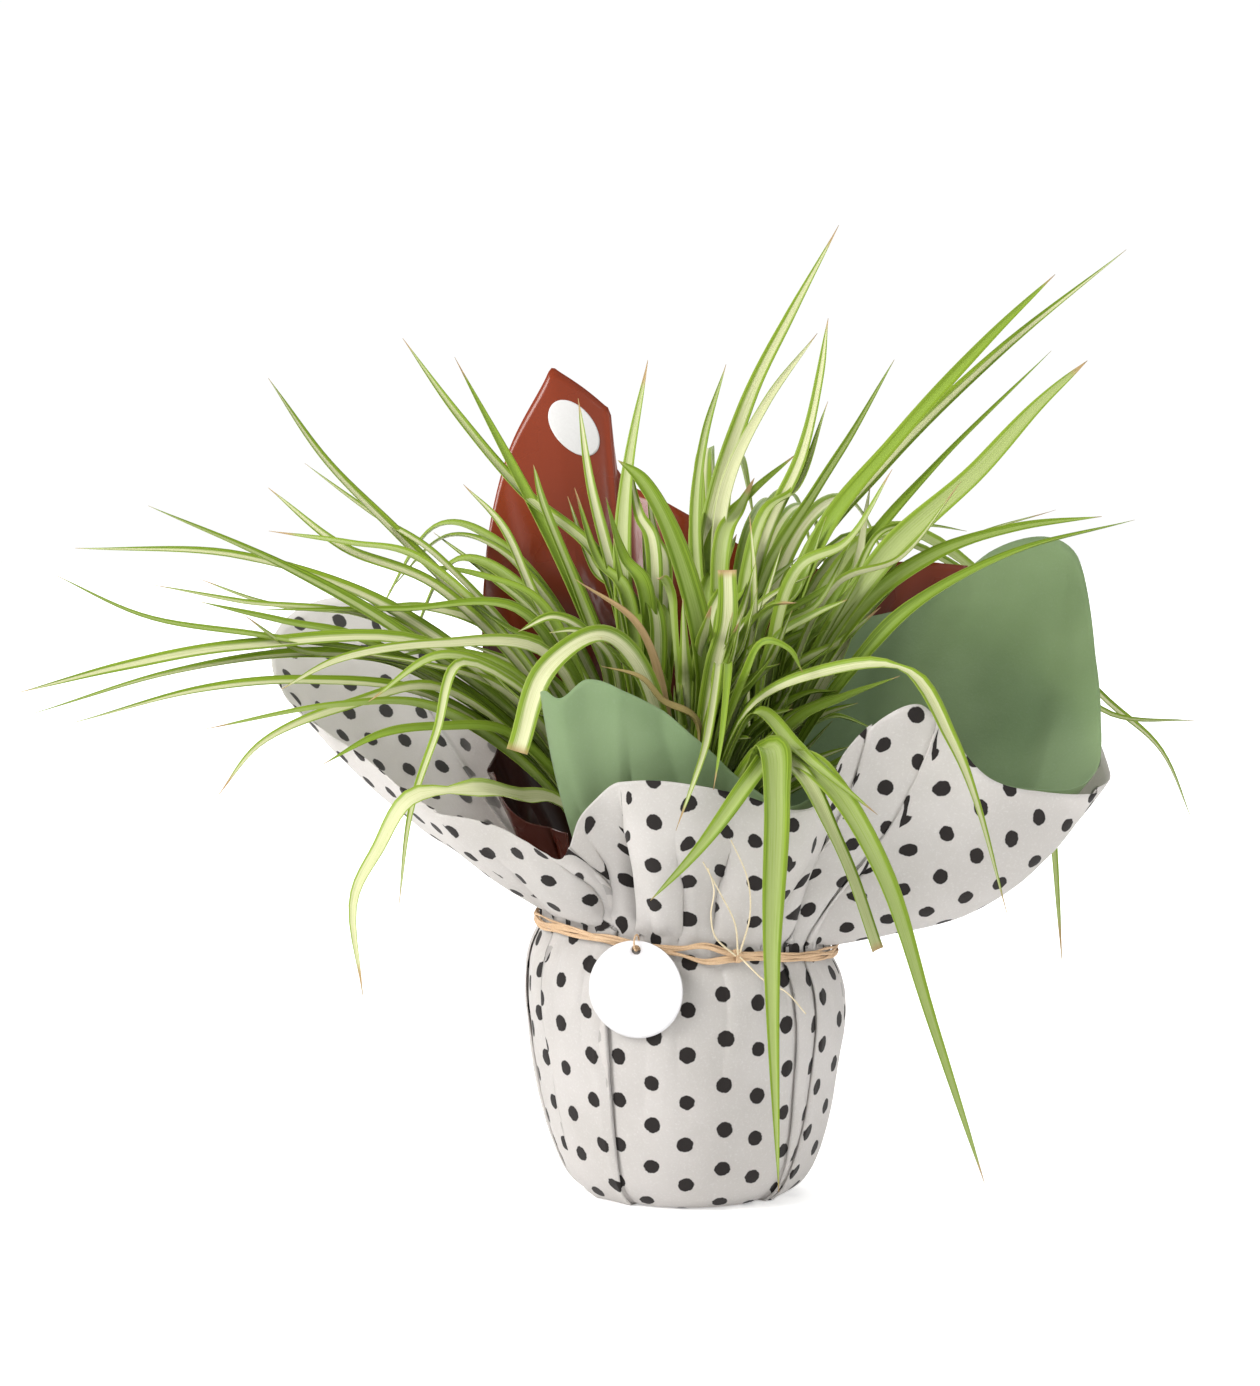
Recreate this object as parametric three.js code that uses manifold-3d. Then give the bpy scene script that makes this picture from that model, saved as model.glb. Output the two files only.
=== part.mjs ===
// A potted spider plant, gift-wrapped. Five crowns of arching leaves stand in the soil of a
// nursery pot. A dotted sheet wraps the pot, a green and a red sheet are tucked inside it, and
// a twine tied round the neck gathers all three into a ruffled collar.
// Millimetres, +Z up, the origin on the floor under the middle of the pot. The front faces -Y.
import * as THREE from "three";
import { mergeVertices } from "three/addons/utils/BufferGeometryUtils.js";
import Module from "manifold-3d";

const wasm = await Module();
wasm.setup();

// ---------------------------------------------------------------- driving dimensions

const POT = { rimRadius: 60, baseRadius: 41, top: 112, wall: 1.4, band: 9, bandStep: 1.6, foot: 1.2 };
const DRAIN = { count: 5, radius: 4, ring: 26 };
const SOIL = { top: 100, mound: 3, clearance: 0.4, bottom: 4 };
const CROWN = { fromAxis: 27, stubRadius: 9.5, stubTop: 105, depth: 26, holeClearance: 0.4 };

// The neck is where the twine holds the sheets. It sits a little higher on the left.
const NECK = { height: 116, tilt: 7, radius: 64, straight: 4 };
const SHEET = { thickness: 0.7, gap: 0.6, steps: 60, rows: 4 };
const TUCK = { bottom: 80 };
const RUFFLE = { depth: 3, first: 11, second: 17 };
const TIE = { inner: 66, outer: 68.4, halfHeight: 2.7, steps: 30, knotAngle: 288, knotRadius: 4 };
const TAG = { angle: 252, radius: 21, thickness: 0.8, holeRadius: 2.1, holeFromEdge: 4, standOff: 72 };
const STICKER = { radius: 13, thickness: 0.5, angle: 114, along: 0.9, standOff: 2 };
const LEAF = { keel: 1.1, fullness: 1.1, extraSteps: 3, channel: 30, sliver: 0.06 };
const LEAF_ROOT = { innerRing: 1, outerRing: 8, height: 98 };

// ---------------------------------------------------------------- small helpers

const rad = (degrees) => (degrees * Math.PI) / 180;
const lerp = (a, b, t) => a + (b - a) * t;

function polar(degrees, radius, height) {
  return new THREE.Vector3(Math.cos(rad(degrees)) * radius, Math.sin(rad(degrees)) * radius, height);
}

// A closed solid from a geometry, with its shared corners merged and its empty triangles left out.
function solid(geometry) {
  const bare = new THREE.BufferGeometry();
  bare.setAttribute("position", geometry.getAttribute("position"));
  bare.setIndex(geometry.getIndex());
  const merged = mergeVertices(bare, 1e-4);
  const index = merged.getIndex().array;
  const triangles = [];
  for (let i = 0; i < index.length; i += 3) {
    const [a, b, c] = index.subarray(i, i + 3);
    if (a !== b && b !== c && c !== a) triangles.push(a, b, c);
  }
  const mesh = new wasm.Mesh({
    numProp: 3,
    vertProperties: merged.getAttribute("position").array,
    triVerts: new Uint32Array(triangles),
  });
  return new wasm.Manifold(mesh);
}

function geometryOf(made) {
  const mesh = made.getMesh();
  const geometry = new THREE.BufferGeometry();
  geometry.setAttribute("position", new THREE.BufferAttribute(mesh.vertProperties, 3));
  geometry.setIndex(new THREE.BufferAttribute(mesh.triVerts, 1));
  geometry.computeVertexNormals();
  return geometry;
}

// A solid turned about the Z axis from a closed profile of [radius, height] corners.
function turned(profile, segments) {
  const corners = profile.map(([radius, height]) => new THREE.Vector2(radius, height));
  const geometry = new THREE.LatheGeometry(corners, segments);
  geometry.rotateX(Math.PI / 2);
  return solid(geometry);
}

// A grid of corner pairs, front face and back face, closed into one thin solid. Both faces are
// split along the same diagonal.
function slab(columns, around) {
  const points = [];
  const triangles = [];
  const rows = columns[0].length;
  const id = (column, row, back) => ((column % columns.length) * rows + row) * 2 + back;
  columns.forEach((column) => column.forEach(({ face, back }) => points.push(face, back)));
  const quad = (a, b, c, d) => triangles.push(a, b, c, a, c, d);
  const last = around ? columns.length : columns.length - 1;
  for (let c = 0; c < last; c += 1) {
    for (let r = 0; r < rows - 1; r += 1) {
      quad(id(c, r, 0), id(c + 1, r, 0), id(c + 1, r + 1, 0), id(c, r + 1, 0));
      quad(id(c, r, 1), id(c, r + 1, 1), id(c + 1, r + 1, 1), id(c + 1, r, 1));
    }
    quad(id(c, rows - 1, 0), id(c + 1, rows - 1, 0), id(c + 1, rows - 1, 1), id(c, rows - 1, 1));
    quad(id(c, 0, 1), id(c + 1, 0, 1), id(c + 1, 0, 0), id(c, 0, 0));
  }
  if (!around) {
    for (let r = 0; r < rows - 1; r += 1) {
      quad(id(0, r, 1), id(0, r, 0), id(0, r + 1, 0), id(0, r + 1, 1));
      quad(id(last, r, 0), id(last, r, 1), id(last, r + 1, 1), id(last, r + 1, 0));
    }
  }
  const geometry = new THREE.BufferGeometry().setFromPoints(points);
  geometry.setIndex(triangles);
  return solid(geometry);
}

// ---------------------------------------------------------------- the photograph's view

// Where a pixel of the 1260 x 1386 photograph lies in the part, at a chosen depth along Y.
const VIEW = { centreX: 630, centreY: 693, scale: 0.444, distance: 1500, tilt: 4, aimX: -25, aimZ: 222 };

function fromPhoto(px, py, depth) {
  const rise = ((VIEW.centreY - py) * VIEW.scale) / VIEW.distance;
  const cos = Math.cos(rad(VIEW.tilt));
  const sin = Math.sin(rad(VIEW.tilt));
  const height = (VIEW.distance * rise + depth * (rise * cos - sin)) / (cos + rise * sin);
  const away = VIEW.distance + depth * cos - height * sin;
  const side = ((px - VIEW.centreX) * VIEW.scale * away) / VIEW.distance;
  return new THREE.Vector3(VIEW.aimX + side, depth, VIEW.aimZ + height);
}

// ---------------------------------------------------------------- the wrapping sheets

// Stations along each sheet's rim: how far out it reaches, how high it stands, and how far its
// line from the neck bellies outwards and down. Angles are counted from +X towards +Y.
const DOTTED_RIM = [
  { angle: -14, reach: 183, height: 180, belly: 38 },
  { angle: 0, reach: 187, height: 190, belly: 36 },
  { angle: 10, reach: 182, height: 212, belly: 30 },
  { angle: 22, reach: 165, height: 232, belly: 20 },
  { angle: 34, reach: 158, height: 228, belly: 16 },
  { angle: 46, reach: 136, height: 220, belly: 12 },
  { angle: 64, reach: 114, height: 212, belly: 6 },
  { angle: 85, reach: 102, height: 208, belly: 4 },
  { angle: 105, reach: 104, height: 206, belly: 4 },
  { angle: 125, reach: 122, height: 214, belly: 6 },
  { angle: 140, reach: 142, height: 238, belly: 8 },
  { angle: 152, reach: 170, height: 258, belly: 10 },
  { angle: 163, reach: 184, height: 258, belly: 12 },
  { angle: 173, reach: 187, height: 242, belly: 13 },
  { angle: 183, reach: 180, height: 221, belly: 13 },
  { angle: 195, reach: 148, height: 199, belly: 12 },
  { angle: 206, reach: 128, height: 180, belly: 10 },
  { angle: 219, reach: 114, height: 170, belly: 8 },
  { angle: 229, reach: 105, height: 165, belly: 6 },
  { angle: 236, reach: 99, height: 154, belly: 3 },
  { angle: 240, reach: 98, height: 171, belly: 3 },
  { angle: 245, reach: 97, height: 181, belly: 3 },
  { angle: 251, reach: 98, height: 189, belly: 4 },
  { angle: 260, reach: 99, height: 192, belly: 4 },
  { angle: 272, reach: 98, height: 191, belly: 4 },
  { angle: 284, reach: 99, height: 184, belly: 4 },
  { angle: 296, reach: 101, height: 181, belly: 4 },
  { angle: 303, reach: 103, height: 185, belly: 5 },
  { angle: 309, reach: 105, height: 202, belly: 6 },
  { angle: 316, reach: 114, height: 217, belly: 8 },
  { angle: 321, reach: 126, height: 222, belly: 11 },
  { angle: 326, reach: 133, height: 209, belly: 16 },
  { angle: 331, reach: 144, height: 192, belly: 23 },
  { angle: 337, reach: 162, height: 186, belly: 34 },
  { angle: 346, reach: 183, height: 180, belly: 38 },
];

const GREEN_RIM = [
  { angle: 226, reach: 92, height: 227, belly: 9 },
  { angle: 231, reach: 94, height: 229, belly: 9 },
  { angle: 236, reach: 95, height: 226, belly: 7 },
  { angle: 242, reach: 93, height: 233, belly: 4 },
  { angle: 255, reach: 86, height: 226, belly: 2 },
  { angle: 272, reach: 81, height: 209, belly: 2 },
  { angle: 286, reach: 82, height: 190, belly: 2 },
  { angle: 300, reach: 86, height: 180, belly: 2 },
  { angle: 312, reach: 93, height: 188, belly: 4 },
  { angle: 320, reach: 98, height: 199, belly: 5 },
  { angle: 326, reach: 106, height: 201, belly: 4 },
  { angle: 332, reach: 132, height: 193, belly: 14 },
  { angle: 339, reach: 155, height: 186, belly: 26 },
  { angle: 346, reach: 173, height: 181, belly: 32 },
  { angle: 353, reach: 180, height: 187, belly: 32 },
  { angle: 362, reach: 184, height: 206, belly: 29 },
  { angle: 370, reach: 190, height: 236, belly: 26 },
  { angle: 377, reach: 188, height: 282, belly: 20 },
  { angle: 384, reach: 174, height: 288, belly: 12 },
  { angle: 395, reach: 144, height: 264, belly: 3 },
  { angle: 408, reach: 118, height: 250, belly: 1 },
  { angle: 420, reach: 102, height: 243, belly: 0 },
];

const RED_RIM = [
  { angle: 34, reach: 166, height: 276, belly: 2 },
  { angle: 42, reach: 153, height: 278, belly: 2 },
  { angle: 54, reach: 137, height: 274, belly: 2 },
  { angle: 68, reach: 121, height: 276, belly: 1 },
  { angle: 82, reach: 111, height: 292, belly: 0 },
  { angle: 95, reach: 112, height: 306, belly: 0 },
  { angle: 104.5, reach: 122, height: 322, belly: 0 },
  { angle: 105.5, reach: 124, height: 346, belly: 0 },
  { angle: 107, reach: 126, height: 352, belly: 0 },
  { angle: 115.5, reach: 138, height: 366, belly: 0 },
  { angle: 117, reach: 140, height: 368, belly: 0 },
  { angle: 118.5, reach: 140, height: 362, belly: 0 },
  { angle: 126, reach: 140, height: 330, belly: 0 },
  { angle: 131, reach: 138, height: 296, belly: 0 },
  { angle: 138, reach: 126, height: 256, belly: 2 },
  { angle: 150, reach: 102, height: 206, belly: 3 },
  { angle: 165, reach: 90, height: 188, belly: 3 },
  { angle: 185, reach: 88, height: 186, belly: 3 },
  { angle: 196, reach: 88, height: 188, belly: 3 },
  { angle: 203, reach: 87, height: 178, belly: 2 },
  { angle: 210, reach: 80, height: 168, belly: 1 },
  { angle: 222, reach: 72, height: 164, belly: 0 },
];

// The pot's wrap in profile, from the edge of its flat bottom up to just under the twine.
const BODY_PROFILE = [
  [43, 0],
  [52, 8],
  [61, 30],
  [67, 58],
  [70.5, 86],
  [68.5, 102],
];

const neckHeight = (angle) => NECK.height - NECK.tilt * Math.cos(rad(angle));

// The rim between two stations: a cubic whose slope at each station comes from both neighbours.
function rimAt(stations, angle) {
  const turns = stations === DOTTED_RIM ? Math.floor((angle - stations[0].angle) / 360) : 0;
  const here = angle - turns * 360;
  let i = 0;
  while (i < stations.length - 2 && here > stations[i + 1].angle) i += 1;
  const pick = (k) => stations[Math.min(Math.max(k, 0), stations.length - 1)];
  const [p, a, b, n] = [pick(i - 1), pick(i), pick(i + 1), pick(i + 2)];
  const span = b.angle - a.angle;
  const t = Math.min(Math.max((here - a.angle) / span, 0), 1);
  const blend = (key) => {
    const slopeA = a === p ? 0 : ((b[key] - p[key]) / (b.angle - p.angle)) * span;
    const slopeB = b === n ? 0 : ((n[key] - a[key]) / (n.angle - a.angle)) * span;
    const t2 = t * t;
    const t3 = t2 * t;
    return (
      (2 * t3 - 3 * t2 + 1) * a[key] + (t3 - 2 * t2 + t) * slopeA
      + (3 * t2 - 2 * t3) * b[key] + (t3 - t2) * slopeB
    );
  };
  return { reach: blend("reach"), height: blend("height"), belly: blend("belly") };
}

// The folds that the twine gathers into the sheets, from -1 to 1. All three sheets share them.
function ruffle(angle) {
  const a = rad(angle);
  return 0.6 * Math.sin(RUFFLE.first * a + 0.7) + 0.4 * Math.sin(RUFFLE.second * a + 2.1);
}

// A point of a collar in its own upright plane: [radius, height], from 0 at the neck to 1.
function collarLine(stations, inset, angle, along) {
  const rim = rimAt(stations, angle);
  const foot = [NECK.radius - inset, neckHeight(angle) + NECK.straight + inset];
  const out = rim.reach - foot[0];
  const up = rim.height - foot[1];
  const length = Math.hypot(out, up);
  const control = [
    foot[0] + out / 2 + (rim.belly * up) / length,
    foot[1] + up / 2 - (rim.belly * out) / length,
  ];
  const fold = RUFFLE.depth * ruffle(angle) * along ** 1.3;
  const bend = (k, end) =>
    (1 - along) ** 2 * foot[k] + 2 * along * (1 - along) * control[k] + along ** 2 * end;
  return [
    bend(0, rim.reach) + (fold * up) / length,
    bend(1, rim.height) - (fold * out) / length,
  ];
}

// The two faces of a sheet over one line of [radius, height] corners at one angle.
function sheetColumn(line, angle) {
  return line.map(([radius, height], i) => {
    const before = line[Math.max(i - 1, 0)];
    const after = line[Math.min(i + 1, line.length - 1)];
    const run = [after[0] - before[0], after[1] - before[1]];
    const size = Math.hypot(...run) / SHEET.thickness;
    const inward = radius === 0 ? [0, SHEET.thickness] : [-run[1] / size, run[0] / size];
    return {
      face: polar(angle, radius, height),
      back: polar(angle, radius + inward[0], height + inward[1]),
    };
  });
}

function collarLines(stations, inset, angle) {
  return Array.from({ length: SHEET.rows }, (_, i) =>
    collarLine(stations, inset, angle, (i + 1) / SHEET.rows));
}

// The dotted sheet goes right under the pot.
function dottedWrap() {
  const columns = Array.from({ length: SHEET.steps }, (_, i) => {
    const angle = (i * 360) / SHEET.steps;
    const neck = neckHeight(angle);
    const body = BODY_PROFILE.map(([radius, height]) => [radius, (height * neck) / NECK.height]);
    const waist = [
      [NECK.radius, neck - NECK.straight],
      [NECK.radius, neck + NECK.straight],
    ];
    return sheetColumn([[0, 0], ...body, ...waist, ...collarLines(DOTTED_RIM, 0, angle)], angle);
  });
  return slab(columns, true);
}

// A sheet tucked between the pot and the dotted one, from its first station to its last.
function tuckedSheet(stations, inset) {
  const step = 360 / SHEET.steps;
  const first = Math.round(stations[0].angle / step);
  const last = Math.round(stations[stations.length - 1].angle / step);
  const columns = Array.from({ length: last - first + 1 }, (_, i) => {
    const angle = (first + i) * step;
    const foot = [
      [NECK.radius - inset, TUCK.bottom],
      [NECK.radius - inset, neckHeight(angle) + NECK.straight + inset],
    ];
    return sheetColumn([...foot, ...collarLines(stations, inset, angle)], angle);
  });
  return slab(columns, false);
}

// ---------------------------------------------------------------- pot, soil and trimmings

function pot() {
  const { rimRadius, baseRadius, top, wall, band, bandStep, foot } = POT;
  const shell = turned(
    [
      [0, foot], [baseRadius, foot], [rimRadius - bandStep - wall, top - band],
      [rimRadius, top - band], [rimRadius, top], [rimRadius - wall, top],
      [rimRadius - wall, top - band + wall], [rimRadius - bandStep - 2 * wall, top - band + wall],
      [baseRadius - wall, foot + wall], [0, foot + wall],
    ],
    SHEET.steps / 2,
  );
  return Array.from({ length: DRAIN.count }, (_, i) => {
    const hole = new THREE.CylinderGeometry(DRAIN.radius, DRAIN.radius, 6 * wall, 12);
    hole.rotateX(Math.PI / 2);
    const at = polar((i * 360) / DRAIN.count, DRAIN.ring, foot);
    return solid(hole.translate(at.x, at.y, at.z));
  }).reduce((cut, hole) => cut.subtract(hole), shell);
}

function soil(crowns) {
  const { rimRadius, baseRadius, top, wall, band, bandStep, foot } = POT;
  const wallTop = rimRadius - bandStep - 2 * wall;
  const share = (SOIL.top - foot - wall) / (top - band);
  const low = baseRadius - wall - SOIL.clearance;
  const edge = lerp(baseRadius - wall, wallTop, share) - 2 * SOIL.clearance;
  const ball = turned(
    [
      [0, SOIL.bottom], [low, SOIL.bottom], [edge, SOIL.top],
      [edge * 0.6, SOIL.top + 1], [0, SOIL.top + SOIL.mound],
    ],
    SHEET.steps / 2,
  );
  const radius = CROWN.stubRadius + CROWN.holeClearance;
  return crowns.reduce((cut, crown) => {
    const hole = new THREE.CylinderGeometry(radius, radius, 2 * CROWN.depth, 14);
    hole.rotateX(Math.PI / 2);
    const at = crownCentre(crown);
    return cut.subtract(solid(hole.translate(at.x, at.y, SOIL.top)));
  }, ball);
}

// Two turns of twine lie side by side round the neck. A loop through the tag's hole and the
// loose ends of the knot grow out of them.
function twineTie() {
  const column = (angle) => {
    const z = neckHeight(angle);
    const { inner, outer, halfHeight } = TIE;
    const middle = (inner + outer) / 2;
    const section = [
      [inner, 0], [middle, -halfHeight], [outer, -halfHeight / 2],
      [outer, halfHeight / 2], [middle, halfHeight],
    ];
    return section.map(([radius, above]) => polar(angle, radius, z + above));
  };
  const corners = [];
  for (let i = 0; i < TIE.steps; i += 1) corners.push(column((i * 360) / TIE.steps));
  const knotAt = polar(TIE.knotAngle, TIE.outer, neckHeight(TIE.knotAngle));
  const knot = new THREE.SphereGeometry(TIE.knotRadius, 10, 6).scale(1.2, 0.6, 0.8);
  let tie = tubeSolid(corners, true).add(solid(knot.translate(knotAt.x, knotAt.y, knotAt.z)));
  for (const end of LOOSE_ENDS) {
    const path = new THREE.CatmullRomCurve3(end.map((at) => fromPhoto(...at)));
    tie = tie.add(cord(path, 0.8, 2, 6));
  }
  const at = tagHole();
  const loop = new THREE.TorusGeometry(3.4, 0.7, 5, 12);
  loop.rotateX(Math.PI / 2);
  loop.rotateZ(rad(TAG.angle));
  return tie.add(solid(loop.translate(at.x, at.y, at.z + 3)));
}

// Rings of corners joined into a solid: a closed ring of rings, or a tube with flat ends.
function tubeSolid(rings, around) {
  const sides = rings[0].length;
  const triangles = [];
  const id = (ring, side) => (ring % rings.length) * sides + (side % sides);
  for (let r = 0; r < (around ? rings.length : rings.length - 1); r += 1) {
    for (let s = 0; s < sides; s += 1) {
      triangles.push(id(r, s), id(r, s + 1), id(r + 1, s + 1));
      triangles.push(id(r, s), id(r + 1, s + 1), id(r + 1, s));
    }
  }
  for (let s = 1; s < sides - 1 && !around; s += 1) {
    const end = rings.length - 1;
    triangles.push(id(0, 0), id(0, s + 1), id(0, s));
    triangles.push(id(end, 0), id(end, s), id(end, s + 1));
  }
  const geometry = new THREE.BufferGeometry().setFromPoints(rings.flat());
  geometry.setIndex(triangles);
  const made = solid(geometry);
  if (made.volume() > 0) return made;
  geometry.setIndex(triangles.reverse());
  return solid(geometry);
}

function cord(path, radius, sides, steps) {
  const section = new THREE.Shape();
  section.absarc(0, 0, radius, 0, 2 * Math.PI, false);
  return solid(new THREE.ExtrudeGeometry(section, { steps, curveSegments: sides, extrudePath: path }));
}

// The knot sits at the front; these are the thin raffia ends that leave it, as [px, py, depth].
const LOOSE_ENDS = [
  [[738, 955, -67], [735, 924, -76], [720, 893, -88], [703, 862, -96]],
  [[736, 956, -67], [716, 938, -74], [711, 915, -82], [714, 890, -90], [708, 868, -95]],
  [[740, 953, -66], [750, 915, -78], [747, 877, -92], [731, 840, -101]],
  [[740, 957, -67], [747, 964, -72], [765, 981, -73], [786, 992, -72], [806, 1014, -71]],
];

function tagHole() {
  return polar(TAG.angle, TAG.standOff, neckHeight(TAG.angle) - 1);
}

// A round card tag with a punched hole, hanging flat against the wrap.
function tag() {
  const outline = new THREE.Shape();
  outline.absarc(0, 0, TAG.radius, 0, 2 * Math.PI, false);
  const hole = new THREE.Path();
  hole.absarc(0, TAG.radius - TAG.holeFromEdge, TAG.holeRadius, 0, 2 * Math.PI, true);
  outline.holes.push(hole);
  const settings = { depth: TAG.thickness, bevelEnabled: false, curveSegments: 12 };
  const card = new THREE.ExtrudeGeometry(outline, settings);
  card.rotateX(Math.PI / 2);
  card.rotateZ(rad(TAG.angle + 90));
  const at = tagHole();
  return solid(card.translate(at.x, at.y, at.z - TAG.radius + TAG.holeFromEdge));
}

// A blank round sticker near the top of the red sheet, on the face that looks at the plant.
function sticker(inset) {
  const onSheet = (angle, along) => polar(angle, ...collarLine(RED_RIM, inset, angle, along));
  const centre = onSheet(STICKER.angle, STICKER.along);
  const sideways = onSheet(STICKER.angle - 4, STICKER.along).sub(onSheet(STICKER.angle + 4, STICKER.along));
  const above = onSheet(STICKER.angle, STICKER.along + 0.1);
  const upwards = above.sub(onSheet(STICKER.angle, STICKER.along - 0.1));
  const normal = upwards.cross(sideways).normalize();
  if (normal.y > 0) normal.negate();
  const disc = new THREE.CylinderGeometry(STICKER.radius, STICKER.radius, STICKER.thickness, 24);
  disc.applyQuaternion(new THREE.Quaternion().setFromUnitVectors(new THREE.Vector3(0, 1, 0), normal));
  centre.addScaledVector(normal, STICKER.standOff + SHEET.thickness);
  return solid(disc.translate(centre.x, centre.y, centre.z));
}

// ---------------------------------------------------------------- the leaves

// Each crown keeps to its own sector of the plan, from one angle to the other.
const CROWNS = {
  west: { from: 150, to: 204 },
  north_west: { from: 96, to: 150 },
  north_east: { from: 24, to: 96 },
  east: { from: -22, to: 24 },
  south: { from: 204, to: 338 },
};

function crownCentre({ from, to }) {
  return polar((from + to) / 2, CROWN.fromAxis, 0);
}

// The leaves that the photograph shows, by crown. Each passes over its [px, py] points and ends
// at its tip, and its depth runs evenly from the crown to the tip unless a point gives its own.
const SEEN = {
  west: [
    { over: [[395, 629], [282, 565]], tip: [148, 506], depth: -10, width: 8 },
    { over: [[395, 612], [240, 556]], tip: [75, 549], depth: 15, width: 8 },
    { over: [[420, 668], [271, 637], [147, 616]], tip: [54, 574], depth: -40, width: 4 },
    { over: [[440, 650], [243, 647], [120, 667]], tip: [20, 691], depth: -45, width: 8 },
    { over: [[430, 672], [310, 654], [169, 673]], tip: [31, 714], depth: -30, width: 8 },
    { over: [[437, 700], [310, 682], [203, 690]], tip: [72, 723], depth: -52, width: 8 },
    { over: [[437, 710], [338, 706]], tip: [206, 729], depth: -62, width: 7 },
    { over: [[440, 690], [350, 706], [262, 743]], tip: [216, 797], depth: -62, width: 7 },
    { over: [[510, 735], [440, 728], [381, 735]], tip: [322, 764], depth: -56, width: 7 },
    { over: [[496, 637], [401, 539], [324, 460]], tip: [268, 378], depth: 60, width: 9 },
    { over: [[440, 560], [372, 513]], tip: [305, 463], depth: 62, width: 5 },
    { over: [[440, 590], [341, 547]], tip: [268, 488], depth: 30, width: 7 },
    { over: [[420, 560], [350, 543]], tip: [269, 530], depth: 20, width: 5 },
    { over: [[400, 625], [271, 605]], tip: [197, 578], depth: 35, width: 5 },
    { over: [[380, 622], [240, 602]], tip: [152, 585], depth: 5, width: 5 },
    { over: [[367, 643], [282, 621]], tip: [199, 601], depth: -20, width: 7 },
    { over: [[400, 665], [296, 649]], tip: [243, 615], depth: -25, width: 6 },
    { over: [[520, 613], [400, 610]], tip: [262, 609], depth: 0, width: 8 },
    { over: [[545, 654], [440, 645], [340, 660]], tip: [282, 690], depth: -50, width: 8 },
  ],
  north_west: [
    { over: [[601, 564], [524, 494], [460, 417]], tip: [403, 338], depth: 98, width: 8 },
    { over: [[581, 604], [524, 488]], tip: [455, 357], depth: 80, width: 9 },
    { over: [[538, 606], [502, 525]], tip: [464, 484], depth: 76, width: 6 },
    { over: [[581, 598], [541, 499]], tip: [533, 465], depth: 62, width: 6 },
    { over: [[540, 620], [490, 575]], tip: [433, 533], depth: 98, width: 5 },
    { over: [[620, 606], [589, 480]], tip: [578, 398], depth: 60, width: 7 },
    { over: [[636, 620], [600, 560]], tip: [540, 500], depth: 62, width: 10 },
    { over: [[624, 600], [628, 480]], tip: [648, 360], depth: 60, width: 10 },
  ],
  north_east: [
    { over: [[696, 525], [705, 435]], tip: [725, 364], depth: 55, width: 6 },
    { over: [[706, 553], [747, 407], [790, 316]], tip: [838, 225], depth: 95, width: 9 },
    { over: [[724, 500], [766, 405]], tip: [817, 333], depth: 66, width: 7 },
    { over: [[764, 541], [801, 458], [821, 375]], tip: [829, 318], depth: 62, width: 8 },
    { over: [[712, 545], [750, 495]], tip: [797, 452], depth: 60, width: 7 },
    { over: [[764, 578], [815, 492], [855, 430]], tip: [895, 360], depth: 78, width: 6 },
    { over: [[862, 540, 100], [1010, 605, 140], [1105, 712, 150]], tip: [1198, 722], depth: 150, width: 6 },
    {
      over: [[850, 536, 105], [1000, 596, 148], [1105, 700, 160], [1160, 750, 165]],
      tip: [1192, 820], depth: 168, width: 6,
    },
    { over: [[890, 530, 98], [1030, 640, 128], [1050, 800, 128]], tip: [1062, 965], depth: 120, width: 9 },
  ],
  east: [
    { over: [[808, 561], [881, 467], [999, 353]], tip: [1127, 250], depth: 58, width: 10 },
    { over: [[820, 540], [897, 440], [988, 340]], tip: [1056, 275], depth: 52, width: 9 },
    { over: [[859, 558], [935, 467]], tip: [1052, 351], depth: 46, width: 7 },
    { over: [[881, 563], [978, 472], [1040, 405]], tip: [1088, 361], depth: 34, width: 11 },
    { over: [[862, 609], [935, 555], [1015, 529]], tip: [1102, 517], depth: 20, width: 9 },
    { over: [[900, 580], [975, 535]], tip: [1056, 510], depth: 40, width: 4 },
    { over: [[870, 650], [921, 601], [1020, 550]], tip: [1135, 520], depth: -10, width: 9 },
    { over: [[846, 640], [860, 560]], tip: [870, 485], depth: 22, width: 8 },
    { over: [[850, 590], [881, 532], [925, 526]], tip: [967, 532], depth: 30, width: 4 },
  ],
  south: [
    {
      over: [[637, 668, -45], [600, 637, -52], [545, 672, -62]],
      tip: [518, 752], depth: -66, width: 11, cut: true,
    },
    { over: [[462, 663, -52], [437, 733, -68], [412, 810, -78]], tip: [400, 905], depth: -80, width: 5 },
    {
      over: [
        [554, 802, -39], [521, 799, -56], [480, 791, -86],
        [412, 800, -93], [380, 850, -96], [355, 900, -97],
      ],
      tip: [363, 996], depth: -97, width: 11,
    },
    { over: [[640, 628, -40]], tip: [575, 580], depth: -45, width: 5 },
    { over: [[696, 722, -44], [662, 702, -50], [640, 678, -54]], tip: [601, 666], depth: -58, width: 6 },
    { over: [[705, 671, -29], [671, 537, -28], [640, 480, -27]], tip: [618, 460], depth: -27, width: 10 },
    { over: [[716, 670, -36], [727, 620, -36]], tip: [727, 570], depth: -34, width: 9, cut: true },
    { over: [[752, 640, -24], [754, 580, -24]], tip: [750, 515], depth: -24, width: 5 },
    { over: [[745, 680, -50], [765, 643, -58], [790, 650, -62]], tip: [803, 672], depth: -64, width: 6 },
    { over: [[770, 748, -90], [775, 800, -108], [772, 950, -112]], tip: [780, 1192], depth: -112, width: 13 },
    { over: [[768, 760, -86], [748, 784, -105], [700, 846, -114]], tip: [650, 900], depth: -116, width: 9 },
    {
      over: [[775, 762, -84], [802, 776, -100], [830, 829, -109], [852, 878, -110]],
      tip: [877, 950], depth: -110, width: 8, cut: true,
    },
    {
      over: [[794, 762, -86], [830, 786, -103], [882, 875, -112], [930, 1020, -112]],
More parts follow.
